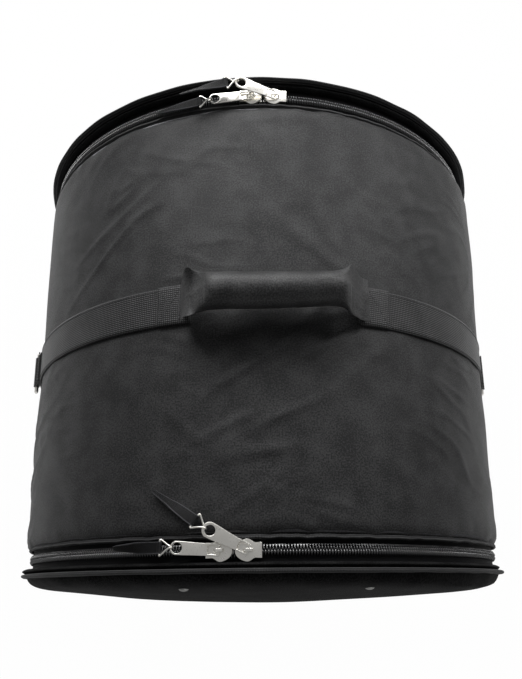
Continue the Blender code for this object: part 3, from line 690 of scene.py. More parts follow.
def make_zip(side, end_name):
    top = tape_radius - 0.1 * mm
    # Rise of the tape in millimetres at each share of its width, from the chain to its sewn edge
    heights = ((0, 0), (0.4, 0), (0.62, 0.1), (0.78, 0.4), (0.9, 0.28), (1, -0.2))
    for owner, out in (("shell", -1), ("lid", 1)):
        node = f"zip_tape_{end_name}_{owner}"
        near, far = reach_of(node)[::out]
        flat = [(near + (far - near) * share, top + rise * mm) for share, rise in heights]

        def spread(angle, reaches, out=out, near=near, far=far):
            return out * parting * parted(end_name, angle) * np.clip((far - reaches) / (far - near), 0, 1)

        tape = cloth_band(
            f"zip_tape_cloth_{end_name}_{owner}", side, flat, (-zip_end - 0.01, zip_end + 0.01), (266, 14),
            shell_radius, thickness=0.6 * mm, spread=spread,
        )
        body = "bag" if owner == "shell" else f"lid_{end_name}"
        hand_over(tape, body, zip_cloth, "zip_tape", node)
        make_coil(side, end_name, owner, out, body)


def coil_loop(name):
    """One loop of the coil: a round-backed staple of nylon wire with a swollen head that meshes."""
    loop = block(name, (1.1 * mm, coil_span, loop_tall), 0)
    open_mesh(loop)
    bpy.ops.mesh.select_all(action="DESELECT")
    close_mesh()
    for edge in loop.data.edges:
        here, there = (loop.data.vertices[k].co for k in edge.vertices)
        runs_round = abs(here.x - there.x) > 0.5 * mm
        edge.select = here.z > 0 and there.z > 0 and here.y * there.y > 0 and runs_round
    bpy.ops.object.mode_set(mode="EDIT")
    bpy.ops.mesh.select_mode(type="EDGE")
    bpy.ops.mesh.bevel(offset=1.5 * mm, segments=1, affect="EDGES")
    close_mesh()
    points = get_points(loop)
    crown_top = points[:, 2] > 1.2 * mm
    points[crown_top, 1] *= 0.4
    set_points(loop, points)
    open_mesh(loop)
    bpy.ops.mesh.bevel(offset=0.42 * mm, segments=1, affect="EDGES")
    close_mesh()
    return loop


def make_coil(side, end_name, owner, out, body):
    first = 0.5 if owner == "shell" else 1.0
    places = []
    for k in range(int(2 * zip_end * tape_radius / loop_pitch)):
        angle = -zip_end + (k + first) * loop_pitch / tape_radius
        if abs(angle) > zip_end:
            continue
        shift = coil_span / 2 - meshed + parting * float(parted(end_name, angle))
        spot = on_bag(side * (zip_reach + out * shift), coil_top - loop_tall / 2, angle)
        places.append(facing_out(spot, angle))
    coil = copies(f"coil_loops_{end_name}_{owner}", coil_loop("loop"), places)
    smooth(coil, 70)
    hand_over(coil, body, nylon, "zip_coil", f"zip_coil_{end_name}_{owner}")


def make_end_stop(end_name, hand_name):
    node = f"zip_stop_{end_name}_{hand_name}"
    middle = middle_of(node)
    stop = block(f"end_stop_{end_name}_{hand_name}", (3.2 * mm, 6.6 * mm, 2.6 * mm), 0.5 * mm, 3)
    place(stop, facing_out(middle, angle_of(middle)))
    smooth(stop)
    hand_over(stop, "bag", nickel, "bright_metal", node)


def make_fold_strip(side, end_name):
    """Plain cloth under the bag, where the lid folds down, lying between the bag and its lid."""
    node = f"lid_hinge_{end_name}"
    angle = zip_end + 0.035
    inner, outer = reach_of(node)
    radius = shell_radius - 5 * mm
    profile = [(inner - 2 * mm, radius), ((inner + outer) / 2, radius + 0.8 * mm), (outer + 3 * mm, radius)]
    span = (angle, 2 * math.pi - angle)
    strip = cloth_band(
        f"fold_strip_{end_name}", side, profile, span, (90, 10), radius, lift=0.8 * mm, thickness=0.9 * mm
    )
    hand_over(strip, None, cover_cloth, "cover_fabric", node)
    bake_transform(strip)


# Lids


def make_rim(side, end_name):
    """Padded gusset between the zip and the bound seam, slumped at the front one's left."""
    root = shell_radius - 4.8 * mm
    wide = rim_end - rim_reach - 2.4 * mm
    slump, slump_at, slump_wide = 4 * mm * (end_name == "front"), -1.35, 0.35
    near_edge = [(1.0 * mm, root - 1.6 * mm), (0, root), (wide * 0.16, root + 3.2 * mm)]
    swell = [(wide * 0.42, shell_radius + 0.2 * mm), (wide * 0.7, shell_radius - 1.3 * mm)]
    far_edge = [(wide, root), (wide + 0.6 * mm, root - 1.5 * mm)]
    profile = [(rim_reach + reach, radius) for reach, radius in near_edge + swell + far_edge]

    def gathers(angle, reach):
        up, across = np.cos(angle) * shell_radius, np.sin(angle) * shell_radius
        pucker = ripple(angle * shell_radius, reach, 21, 14 * mm) + ripple(up, across, 22, 60 * mm)
        return 0.5 * mm * pucker + slump * bell(angle - slump_at, slump_wide)

    rim = cloth_band(
        f"rim_cloth_{end_name}", side, profile, full_turn, (288, 18), shell_radius, thickness=1.0 * mm,
        uneven=gathers,
    )
    hand_over(rim, f"lid_{end_name}", shaded_lid_cloth, "lid_fabric", f"lid_rim_{end_name}")


def make_welt(side, end_name):
    """The bound seam: tape folded over the edges of rim and panel, waving a little as sewn cloth does."""
    root, tip, lowest = shell_radius - 5.5 * mm, welt_radius, 0.2 * mm
    start = welt_reach - 2.8 * mm
    near_face = [(0.2, root - 1.5 * mm), (-0.2, root + 1.5 * mm), (-0.4, tip - 4.6 * mm)]
    crest = [(0.2, tip - 1.2 * mm), (1.2, tip - 0.1 * mm), (2.4, tip - 0.2 * mm), (3.3, tip - 1.4 * mm)]
    far_face = [(3.8, tip - 4.4 * mm), (4.3, root + 1.5 * mm), (4.6, root - 1.5 * mm)]
    profile = [(start + reach * mm, radius) for reach, radius in near_face + crest + far_face]

    def wave(angle, reach):
        return 0.9 * mm * girth_ripple(angle, 31, 35 * mm)

    def lean(angle, reaches):
        return np.clip((reaches - start) / (6 * mm), 0, 1) * 0.8 * mm * girth_ripple(angle, 33, 30 * mm)

    welt = cloth_band(
        f"bound_seam_{end_name}", side, profile, full_turn, (360, 22), tip, uneven=wave, spread=lean
    )
    points = get_points(welt)
    points[:, 2] = np.maximum(points[:, 2], lowest)
    set_points(welt, points)
    hand_over(welt, f"lid_{end_name}", highlit_edge_tape, "binding_tape", f"lid_welt_{end_name}")


panel_edge = shell_radius - 1.0 * mm
panel_crown = 18.6 * mm
panel_roll = 12.4 * mm


def panel_at(radius):
    """Reach of the padded panel at this radius: a low crown, rolled under where it meets the bound seam."""
    share = np.clip(radius / panel_edge, 0, 1)
    return panel_crest - panel_crown * share**2 - panel_roll * (1 - np.sqrt(np.clip(1 - share**30, 0, 1)))


def make_panel(side, end_name):
    """The lid's padded panel: a disc raised to a cushion, fuller at the front one's right."""
    rings = 60
    bulge, bulge_at, bulge_wide = 6 * mm * (end_name == "front"), 0.85, 0.38
    radii = [panel_edge * math.sin(math.pi / 2 * k / rings) for k in range(rings, -1, -1)]
    profile = [(float(panel_at(radius)), radius) for radius in radii]
    panel = cloth_band(f"lid_panel_{end_name}", side, profile, full_turn, (288, 96), 0.0, lift=2.2 * mm)
    points = get_points(panel)
    across, up = points[:, 0], points[:, 2] - axis_height
    radius, angle = np.hypot(across, up), np.arctan2(across, up)

    def from_edge(wide):
        return np.clip((panel_edge - radius) / wide, 0, 1)

    at_edge = np.clip((radius - panel_edge + 30 * mm) / (30 * mm), 0, 1) ** 2
    gather = 1.5 * mm * at_edge * girth_ripple(angle, 41, 24 * mm)
    slack = 1.6 * mm * ripple(across, up, 43, 110 * mm) * from_edge(40 * mm)
    outwards = np.clip(radius / panel_edge, 0, 1) ** 3
    slack += bulge * bell(angle - bulge_at, bulge_wide) * from_edge(6 * mm) * outwards
    points[:, 1] += side * (gather * from_edge(2 * mm) + slack)
    set_points(panel, points)
    set_map(panel, points[:, 0], points[:, 2])
    nodes = (f"lid_cover_{end_name}", f"lid_foam_{end_name}")
    hand_over(panel, f"lid_{end_name}", shaded_lid_cloth, "lid_fabric", *nodes)


def make_lid_lining(side, end_name):
    """The lid's inner face, out to its rim. It is shallow enough to stay off the floor in an open lid."""
    node = f"lid_lining_{end_name}"
    wide = shell_radius - 7.2 * mm
    deep = reach_of(node)[1] - panel_reach - 1.4 * mm
    shares = [k / 12 for k in range(12, -1, -1)]
    profile = [(panel_reach + 0.4 * mm + deep * (1 - share**2), wide * share) for share in shares]
    name = f"lid_lining_cloth_{end_name}"
    lining = cloth_band(name, side, profile, full_turn, (144, 36), 0.0, lift=3.0 * mm)
    points = get_points(lining)
    set_map(lining, points[:, 0], points[:, 2])
    hand_over(lining, f"lid_{end_name}", lining_cloth, "lining_fabric", node)


def make_rivet(end_name, hand_name):
    """A domed rivet head with a thin rim, lying on the panel's slope."""
    node = f"lid_rivet_{end_name}_{hand_name}"
    head_radius, dome, sunk, step = 4.4 * mm, 1.9 * mm, 0.4 * mm, 1 * mm
    side, middle = ENDS[end_name], middle_of(node)
    deselect_all()
    bpy.ops.mesh.primitive_uv_sphere_add(segments=32, ring_count=16, radius=1)
    head = named(f"rivet_{end_name}_{hand_name}")
    points = get_points(head)
    radial = np.hypot(points[:, 0], points[:, 1])
    points[:, 2] *= np.where(points[:, 2] > 0, dome, sunk)
    points[:, :2] *= (head_radius * np.where(radial > 0.93, 1.0, 0.94))[:, None]
    set_points(head, points)
    radius = math.hypot(middle.x, middle.z - axis_height)
    spot = Vector((middle.x, side * (float(panel_at(radius)) + 0.2 * mm), middle.z))
    slope = (float(panel_at(radius + step)) - float(panel_at(radius - step))) / (2 * step)
    normal = (Vector((0, side, 0)) - outward_at(angle_of(middle)) * slope).normalized()
    place(head, axes_at(spot, (1, 0, 0), normal))
    smooth(head, 60)
    hand_over(head, f"lid_{end_name}", dull_metal, "bright_metal", node)


# Flat metal pieces: an outline with holes, given a thickness and rounded edges


def ring_of_edges(points):
    """A primitive circle whose corners are then moved to the outline."""
    bpy.ops.mesh.primitive_circle_add(vertices=len(points), radius=1, fill_type="NOTHING")
    loop = bpy.context.object
    set_points(loop, [(x, y, 0) for x, y in points])
    return loop


def plate(name, outline, holes, thickness, rounding):
    deselect_all()
    obj = joined(name, [ring_of_edges(points) for points in (outline, *holes)])
    bpy.ops.object.mode_set(mode="EDIT")
    bpy.ops.mesh.select_all(action="SELECT")
    bpy.ops.mesh.fill(use_beauty=True)
    bpy.ops.mesh.select_all(action="SELECT")
    bpy.ops.mesh.extrude_region_move(TRANSFORM_OT_translate={"value": (0, 0, thickness)})
    bpy.ops.mesh.select_all(action="SELECT")
    bpy.ops.transform.translate(value=(0, 0, -thickness / 2))
    bpy.ops.mesh.normals_make_consistent(inside=False)
    close_mesh()
    if rounding:
        apply_modifier(
            obj, "BEVEL", width=rounding, segments=3, limit_method="ANGLE", angle_limit=math.radians(50.0),
            use_clamp_overlap=True,
        )
    return obj


def arc(x, y, radius, start, end, count):
    angles = [math.radians(start + (end - start) * k / (count - 1)) for k in range(count)]
    return [(x + radius * math.cos(a), y + radius * math.sin(a)) for a in angles]


# Sliders

roof_low, roof_thick = 3.6 * mm, 1.5 * mm
floor_top, floor_thick = -2.0 * mm, 1.3 * mm
slider_half = 11.4 * mm


def slider_outline():
    """Square tail, drawn-in waist, round shoulders: the shape seen from above."""
    flank = [(-11.4, 6.5), (-8.6, 6.4), (-6.2, 6.3), (-4.4, 6.8), (-2.4, 8.2), (-0.2, 9.3), (2.2, 9.3)]
    flank += [(5.0, 8.4), (7.6, 7.0), (9.8, 5.0), (11.1, 2.6)]
    return both_sides(even_curve(in_mm(flank), 30), [(slider_half, 0)])


def slider_frame(end_name, hand_name):
    """X runs from the tail to the shoulders, towards the other slider. Z points off the bag from the tape."""
    angle = slider_angle(end_name, hand_name)
    return facing_out(on_bag(ENDS[end_name] * zip_reach, tape_radius, angle), angle, -HANDS[hand_name])


def make_slider(end_name, hand_name):
    outline = slider_outline()
    roof = plate("roof", outline, [], roof_thick, 0.55 * mm)
    place(roof, raised(roof_low + roof_thick / 2))
    crown(roof)
    floor_plate = plate("floor_plate", outline, [], floor_thick, 0.4 * mm)
    place(floor_plate, raised(floor_top - floor_thick / 2))
    pieces = [roof, floor_plate, slider_wedge(), *(slider_flange(outline, hand) for hand in (LEFT, RIGHT))]
    slider = joined(f"zip_slider_{end_name}_{hand_name}", pieces + [slider_bridge()])
    place(slider, slider_frame(end_name, hand_name))
    smooth(slider, 35)
    node = f"slider_{end_name}_{hand_name}"
    hand_over(slider, f"runner_{end_name}_{hand_name}", nickel, "bright_metal", node)


def crown(roof):
    """Swells the middle of the roof a little along its length."""
    points = get_points(roof)
    high = points[:, 2] > roof_low + roof_thick - 0.2 * mm
    points[high, 2] += 0.25 * mm * np.clip(1 - (points[high, 1] / (9 * mm)) ** 2, 0, 1)
    set_points(roof, points)


def slider_wedge():
    """The post that parts the chain."""
    wedge = in_mm([(3.0, 0.2), (5.4, 1.5), (7.8, 2.1), (9.6, 1.9), (10.3, 0.9)])
    post = plate("post", both_sides(wedge), [], roof_low - floor_top + 1.2 * mm, 0)
    return place(post, raised((roof_low + floor_top) / 2))


def slider_flange(outline, hand):
    wall, tall, flank_end = 1.2 * mm, 3.2 * mm, 7.4 * mm
    flank = [(x, y) for x, y in outline if y > 0 and x < flank_end]
    outer = [(x, hand * (y - 0.15 * mm)) for x, y in flank]
    inner = [(x, hand * (y - wall)) for x, y in flank[::-1]]
    flange = plate("flange", outer + inner, [], tall, 0.25 * mm)
    return place(flange, raised(roof_low + 0.4 * mm - tall / 2))


def slider_bridge():
    """The pull's arch: a bent strip that rises from the roof at both ends."""
    inner = [(-3.0, -0.6), (-3.0, 1.4), (-1.9, 2.8), (0, 3.05), (1.9, 2.8), (3.0, 1.4), (3.0, -0.6)]
    outer = [(4.3, -0.6), (4.25, 1.9), (2.7, 3.95), (0, 4.3), (-2.7, 3.95), (-4.25, 1.9), (-4.3, -0.6)]
    outline = even_curve(in_mm(inner), 25) + even_curve(in_mm(outer), 25)
    arch = plate("bridge", outline, [], 2.8 * mm, 0.45 * mm)
    return place(arch, raised(roof_low + roof_thick) @ Matrix.Rotation(math.pi / 2, 4, "X"))


# Pulls, links and tags

# Degrees that a pull lies turned on its bar, and a tag in its pull, from how the solids have them
loose_turn = {
    ("front", "left"): (0, 0),
    ("front", "right"): (-2, 13),
    ("back", "left"): (-8, 2),
    ("back", "right"): (-18, -20),
}
# Degrees that each ribbon is twisted along its length
ribbon_roll = {("front", "left"): -35, ("front", "right"): 48, ("back", "left"): 20, ("back", "right"): 40}
link_far = 10.1 * mm
link_wire = 0.8 * mm


def yawed(end_name, hand_name, which):
    """The loose turn of a pull or tag, about the bag's outward direction at its slider."""
    degrees = loose_turn[(end_name, hand_name)][which]
    return Matrix.Rotation(-math.radians(degrees), 3, outward_at(slider_angle(end_name, hand_name)))


def pull_frame(end_name, hand_name):
    turn = joints[f"{end_name}_{hand_name}_pull_turns"]
    swing = joints[f"{end_name}_{hand_name}_tag_swings"]
    start, end = Vector(turn["pos_m"]), Vector(swing["pos_m"])
    yaw = yawed(end_name, hand_name, 0)
    along = yaw @ (end - start).normalized()
    return axes_at(start, along, along.cross(yaw @ -Vector(turn["axis"]))), (end - start).length


def make_pull(end_name, hand_name):
    """A pull with a window over the bridge, a bar to turn on and a round hole for the link."""
    at, rim_at = pull_frame(end_name, hand_name)
    hole_x, hole_radius = rim_at - 5.85 * mm, 4.6 * mm
    flare = 1.0 if hand_name == "right" else 0.0
    end = (6.0 + 1.1 * flare) * mm
    flank = [(-1.0, 3.9), (-0.3, 4.9), (1.2, 5.2), (10.0, 5.2), (14.0, 5.3)]
    flank += [(22.0, 5.5 + 0.4 * flare), (31.0, 5.8 + 0.9 * flare)]
    upper = even_curve(in_mm(flank), 26) + arc(hole_x, 0, end, 76, 0, 14)[:-1]
    window = both_sides(in_mm([(0.95, 3.2), (1.3, 3.6), (8.6, 3.6), (9.6, 2.8)]))
    hole = arc(hole_x, 0, hole_radius, 0, 360 - 360 / 32, 32)
    outline = both_sides(upper, [(hole_x + end, 0)])
    pull = plate(f"zip_pull_{end_name}_{hand_name}", outline, [window, hole], 1.5 * mm, 0.4 * mm)
    place(pull, at)
    smooth(pull, 35)
    hand_over(pull, f"puller_{end_name}_{hand_name}", nickel, "bright_metal", f"pull_{end_name}_{hand_name}")


def tag_frame(end_name, hand_name):
    swing = joints[f"{end_name}_{hand_name}_tag_swings"]
    start = Vector(swing["pos_m"])
    solid = frame["nodes"][f"pull_tag_{end_name}_{hand_name}"]
    middle = sum((vert.co for vert in solid.data.vertices), Vector()) / len(solid.data.vertices)
    yaw = yawed(end_name, hand_name, 0)
    lie = yawed(end_name, hand_name, 1) @ yaw
    along = lie @ (middle - start).normalized()
    pivot = Vector(joints[f"{end_name}_{hand_name}_pull_turns"]["pos_m"])
    return axes_at(pivot + yaw @ (start - pivot), along, along.cross(lie @ -Vector(swing["axis"])))


def wire_piece(name, points, radius, resolution=3):
    """A closed loop of round wire through the points, as a mesh."""
    curve = bpy.data.curves.new(name, "CURVE")
    curve.dimensions = "3D"
    curve.bevel_depth = radius
    curve.bevel_resolution = resolution
    spline = curve.splines.new("POLY")
    spline.use_cyclic_u = True
    spline.points.add(len(points) - 1)
    for point, spot in zip(spline.points, points):
        point.co = (*spot, 1)
    obj = bpy.data.objects.new(name, curve)
    bpy.context.scene.collection.objects.link(obj)
    only(obj)
    bpy.ops.object.convert(target="MESH")
    return bpy.context.object


def rounded_loop(points, times_cut=3):
    """Cuts a closed loop's corners over and over, until they are round."""
    for _ in range(times_cut):
        cut = []
        for here, there in zip(points, points[1:] + points[:1]):
            cut += [here.lerp(there, 0.25), here.lerp(there, 0.75)]
        points = cut
    return points


def make_link(end_name, hand_name):
    """A triangle of wire: its point in the pull's hole and its bar in the tag's fold."""
    upper = [(-2.45, 0.0, 1.5), (-1.6, 0, 2.2), (2.2, 1.5, 2.2), (9.6, 7.3, 0.5), (10.3, 6.2, 0.0)]
    points = [Vector(p) * mm for p in upper] + [Vector((x, -y, -z)) * mm for x, y, z in upper[::-1]]
    link = wire_piece(f"wire_link_{end_name}_{hand_name}", rounded_loop(points), link_wire)
    place(link, tag_frame(end_name, hand_name))
    smooth(link, 60)
    node = f"pull_link_{end_name}_{hand_name}"
    hand_over(link, f"tag_{end_name}_{hand_name}", nickel, "bright_metal", node)


def make_tag(end_name, hand_name):
    """Ribbon folded round the link's bar: a grid bent into a long loop, its end drawn to a point."""
    long, wide, fold, half_gap, sag, columns = 48 * mm, 10.2 * mm, 1.7 * mm, 0.45 * mm, 2.2 * mm, 80
    path = [(long, -0.25 * mm), (long * 0.55, -half_gap), (fold * 2.4, -half_gap * 1.3)]
    path += [(fold * 0.7, -fold * 0.8), (-fold * 0.75, -fold * 0.55), (-fold * 0.95, 0.0)]
    path += [(x, -z) for x, z in path[-2::-1]]
    x, z, run = curve_through(path, columns + 1)
    tag, share, height = sheet(f"ribbon_tag_{end_name}_{hand_name}", columns, 8)
    column = np.rint(share * columns).astype(int)
    x, z, aside = x[column], z[column], height - 0.5
    taper = np.interp(x, [0, long * 0.5, long * 0.93, long], [wide / 2, wide / 2, 2.6 * mm, 1.6 * mm])
    droop = -sag * np.clip(x / long, 0, 1) ** 2
    roll = math.radians(ribbon_roll[(end_name, hand_name)]) * np.clip(x / (0.6 * long), 0, 1)
    across, cos, sin = aside * 2 * taper, np.cos(roll), np.sin(roll)
    bent = [x + link_far, across * cos - z * sin, across * sin + z * cos + droop]
    set_points(tag, np.stack(bent, axis=-1))
    set_map(tag, run[column], aside * wide)
    apply_modifier(tag, "SOLIDIFY", thickness=0.45 * mm, offset=0.0)
    place(tag, tag_frame(end_name, hand_name))
    smooth(tag, 50)
    hand_over(tag, f"tag_{end_name}_{hand_name}", ribbon, "ribbon", f"pull_tag_{end_name}_{hand_name}")


# Girth strap, rings and handle

handle_foot = 80 * mm
patch_end = 113 * mm
web_rim = 0.3 * mm


def strap_surface(radius):
    """Where a layer of webbing at this radius lies, from a place along the girth and across the strap."""

    def at(around, across):
        angle = around / shell_radius
        return facing_out(on_bag(across, radius, angle), angle)

    return at


def stitch_line(places, at, start, end, pitch=3.4 * mm):
    """Adds a stitch's place every pitch from start to end, both (around, across)."""
    start, end = Vector(start), Vector(end)
    run = end - start
    count = max(int(run.length / pitch), 1)
    turn = Matrix.Rotation(math.atan2(run.y, run.x), 4, "Z")
    for k in range(count):
        spot = start + run * ((k + 0.5) / count)
        places.append(at(spot.x, spot.y) @ turn)


def sew(name, places):
    """One piece of thread from the places of its stitches."""
    long, wide = 2.4 * mm, 0.55 * mm
    stitches = copies(name, block("stitch", (long, wide, wide), wide * 0.3), places)
    smooth(stitches)
    hand_over(stitches, "bag", thread_black, "webbing")


def box_and_cross(name, at, low, high):
    (left, near), (right, far) = low, high
    corners = [(left, near), (right, near), (right, far), (left, far)]
    places = []
    for here, there in ((0, 1), (1, 2), (2, 3), (3, 0), (0, 2), (3, 1)):
        stitch_line(places, at, corners[here], corners[there])
    sew(name, places)


def make_strap():
    """Webbing round the shell, from one end of the handle to the other."""
    start = handle_foot / shell_radius
    top = strap_radius - 0.15 * mm
    sewn_at, sewn_from, sewn_to = strap_half - 2.6 * mm, 112 * mm, math.pi * shell_radius * 0.9
    flat = [(-strap_half + web_rim, top - web_rim), (-strap_half * 0.9, top), (0, top)]
    flat += [(strap_half * 0.9, top), (strap_half - web_rim, top - web_rim)]

    def lie(angle, reach):
        return 0.25 * mm * girth_ripple(angle, 51, 50 * mm)

    strap = cloth_band(
        "girth_webbing", 1, flat, (start, 2 * math.pi - start), (300, 12), strap_radius, lift=0.6 * mm,
        thickness=1.4 * mm, uneven=lie,
    )
    hand_over(strap, "bag", webbing, "webbing", "girth_strap")
    places = []
    at = strap_surface(strap_radius + 0.1 * mm)
    for edge in (-1, 1):
        for hand in (RIGHT, LEFT):
            stitch_line(places, at, (hand * sewn_from, edge * sewn_at), (hand * sewn_to, edge * sewn_at))
    sew("girth_stitches", places)


def make_patch(hand_name, hand):
    """The handle's end, sewn on the strap with a box and a cross."""
    half, top, margin = strap_half, strap_radius + 1.9 * mm, 4 * mm
    flat = [(-half, top - 1.0 * mm), (-half + 0.5 * mm, top - 0.1 * mm), (0, top)]
    flat += [(half - 0.5 * mm, top - 0.1 * mm), (half, top - 1.0 * mm)]
    span = sorted((hand * handle_foot / shell_radius, hand * patch_end / shell_radius))
    name = f"handle_patch_webbing_{hand_name}"
    patch = cloth_band(name, 1, flat, span, (24, 12), shell_radius, thickness=1.5 * mm)
    hand_over(patch, "bag", webbing, "webbing", f"handle_patch_{hand_name}")
    low, high = (hand * 90 * mm, -half + margin), (hand * 110 * mm, half - margin)
    box_and_cross(f"patch_stitches_{hand_name}", strap_surface(top + 0.1 * mm), low, high)


def make_tab(hand_name, hand):
    """Webbing folded round the ring's bar and sewn down on the strap."""
    wide, eye, end, bent, columns = 36 * mm, 3.0 * mm, -26 * mm, -7 * mm, 90
    bar = Vector(joints[f"{hand_name}_ring_swings"]["pos_m"])
    angle, bar_radius = angle_of(bar), math.hypot(bar.x, bar.z - axis_height)
    low, high = strap_radius + 1.0 * mm - bar_radius, strap_radius + 2.9 * mm - bar_radius
    path = [(end, low), (-16 * mm, low), (bent, low), (-2 * mm, -eye), (eye * 0.8, -eye * 0.6), (eye, 0.0)]
    path += [(eye * 0.75, eye * 0.7), (0, eye), (-3.4 * mm, eye * 0.6)]
    path += [(bent, high), (-16 * mm, high), (end, high)]
    x, z, run = curve_through(path, columns + 1)
    tab, share, height = sheet(f"ring_tab_webbing_{hand_name}", columns, 12)
    column = np.rint(share * columns).astype(int)
    across = (height - 0.5) * wide
    set_points(tab, on_bag(across, bar_radius + z[column], angle + hand * x[column] / strap_radius))
    set_map(tab, run[column], across)
    apply_modifier(tab, "SOLIDIFY", thickness=1.4 * mm, offset=0.0)
    smooth(tab, 50)
    hand_over(tab, "bag", webbing, "webbing", f"ring_tab_{hand_name}")
    spot = angle * shell_radius
    corners = (spot - hand * 23 * mm, -15 * mm), (spot - hand * 9 * mm, 15 * mm)
    box_and_cross(f"tab_stitches_{hand_name}", strap_surface(bar_radius + high + 0.8 * mm), *corners)


def make_ring(hand_name, hand):
    """A D of round wire: straight bar in the tab, round bow below it."""
    wire, steps = 2.2 * mm, 32
    bar = Vector(joints[f"{hand_name}_ring_swings"]["pos_m"])
    low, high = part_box(f"side_ring_{hand_name}")
    far = Vector(((high if hand > 0 else low)[0] - hand * wire, 0, low[2] + wire))
    hang = (far - bar).normalized()
    deep, half = (far - bar).length, high[1] - wire - 0.2 * mm
    points = [bar + Vector((0, y, 0)) for y in np.linspace(-half, half, 9)]
    for k in range(1, steps):
        t = math.pi * k / steps
        points.append(bar + Vector((0, half * math.cos(t), 0)) + hang * (deep * math.sin(t) ** 0.8))
    ring = wire_piece(f"wire_ring_{hand_name}", points, wire, 5)
    smooth(ring, 60)
    hand_over(ring, f"ring_{hand_name}", nickel, "bright_metal", f"side_ring_{hand_name}")


# Stations of the sleeve in millimetres: place along it, then its middle's height over the grip's, half width,
# half thickness, how pointed its sides are, and how far its far and near corners lift
sleeve_stations = (
    (-88, -30.0, 20.5, 3.0, 0.9, 3, 4),
    (-85, -25.0, 22.0, 4.5, 1.0, 17, 15),
    (-81.5, -20.5, 22.6, 6.5, 1.0, 18, 15),
    (-76, -16.0, 21.2, 9.5, 0.85, 12, 10),
    (-70, -10.0, 18.8, 13.0, 0.5, 6, 5),
    (-63, -3.6, 17.2, 15.4, 0.15, 2, 2),
    (-54, -0.6, 16.8, 15.6, 0.0, 0, 0),
    (-30, 0.0, 16.6, 15.6, 0.0, 0, 0),
    (0, 0.0, 16.5, 15.6, 0.0, 0, 0),
    (30, 0.0, 16.0, 15.5, 0.0, 0, 0),
    (52, -0.5, 16.0, 15.5, 0.0, 0, 0),
    (60, -3.2, 18.0, 14.6, 0.25, 4, 1),
    (66.5, -10.0, 21.6, 11.5, 0.7, 13, 2),
    (73, -18.0, 21.8, 8.6, 0.9, 9, 2),
    (80, -25.5, 21.6, 5.6, 0.9, 2, 1),
    (88, -30.2, 21.2, 2.8, 0.7, 0, 0),
)
grip_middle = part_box("handle_sleeve")[1][2] - 15.5 * mm
grip_skew = 0.035
grip_half = 60 * mm
grip_split = 66 * mm
sleeve_end = 88 * mm


def smooth_table(x, places, values):
    """The table's value at x, eased through its places."""
    k = np.clip(np.searchsorted(places, x) - 1, 0, len(places) - 2)
    slopes = np.gradient(values, places)
    wide = places[k + 1] - places[k]
    t = np.clip((x - places[k]) / wide, 0, 1)
    bend = (2 * t**3 - 3 * t**2 + 1) * values[k] + (3 * t**2 - 2 * t**3) * values[k + 1]
    return bend + wide * ((t**3 - 2 * t**2 + t) * slopes[k] + (t**3 - t**2) * slopes[k + 1])


def sleeve_section(x, a):
    """A point of the sleeve's skin at x and at this angle round it, as arrays."""
    table = np.array(sleeve_stations).T
    drop, wide, thick, point, far_lift, near_lift = (smooth_table(x / mm, table[0], row) for row in table[1:])
    cos, sin = np.cos(a), np.sin(a)
    flat = np.sign(sin) * (1 - np.abs(cos)) ** 0.85
    up = thick * ((1 - point) * sin + point * flat)
    lift = far_lift * np.clip(cos, 0, 1) ** 2 + near_lift * np.clip(-cos, 0, 1) ** 2
    aside = grip_skew * np.clip(x, -grip_half, grip_half) - 1.2 * mm * bell(x, 55 * mm, 4)
    return wide * cos * mm + aside, grip_middle + (drop + up + lift) * mm


def handle_tube(name, start, end, steps):
    """A stretch of the handle's sleeve: a grid rolled round its line, its ends closed."""
    facets, girth = 64, 97 * mm
    tube, share, height = sheet(name, steps, facets)
    x = start + share * (end - start)
    a = 2 * math.pi * height - math.pi / 2
    across, up = sleeve_section(x, a)
    cos, sin = np.cos(a), np.sin(a)
    near_ends = np.clip((np.abs(x) - 45 * mm) / (20 * mm), 0, 1)
    crease = 0.35 * mm * ripple(x + 10 * mm * cos, 16 * mm * sin, 61, 12 * mm)
    crease += 1.1 * mm * near_ends * ripple(x * 0.4 + 20 * mm * cos, 20 * mm * sin, 63, 10 * mm)
    set_points(tube, np.stack([x, across + crease * cos, up + crease * sin], axis=-1))
    set_map(tube, x, height * girth)
    open_mesh(tube)
    bpy.ops.mesh.remove_doubles(threshold=weld)
    bpy.ops.mesh.select_all(action="DESELECT")
    bpy.ops.mesh.select_non_manifold(extend=False)
    bpy.ops.mesh.edge_face_add()
    bpy.ops.mesh.select_all(action="SELECT")
    bpy.ops.mesh.normals_make_consistent(inside=False)
    close_mesh()
    smooth(tube, 50)
    return tube


def make_handle():
    grip = handle_tube("handle_grip", -grip_split, grip_split, 120)
    hand_over(grip, "handle", highlit_sleeve_cloth, "cover_fabric", "handle_sleeve", "handle_padding")
    for hand_name, hand in HANDS.items():
        cuff = handle_tube(f"handle_cuff_{hand_name}", *sorted((hand * grip_split, hand * sleeve_end)), 24)
        hand_over(cuff, None, highlit_sleeve_cloth, "cover_fabric", f"handle_end_{hand_name}")
        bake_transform(cuff)


# Camera, floor and light

photo_size = (522, 679)
photo_focal = 672.6
photo_centre = (261, 400)
camera_distance = 0.851
camera_reach = 0.2566
camera_tilt = math.radians(15.56)
bag_roll = math.radians(3.1)
camera_roll = math.radians(-0.56)
sensor_height = 36
white = (1, 1, 1, 1)


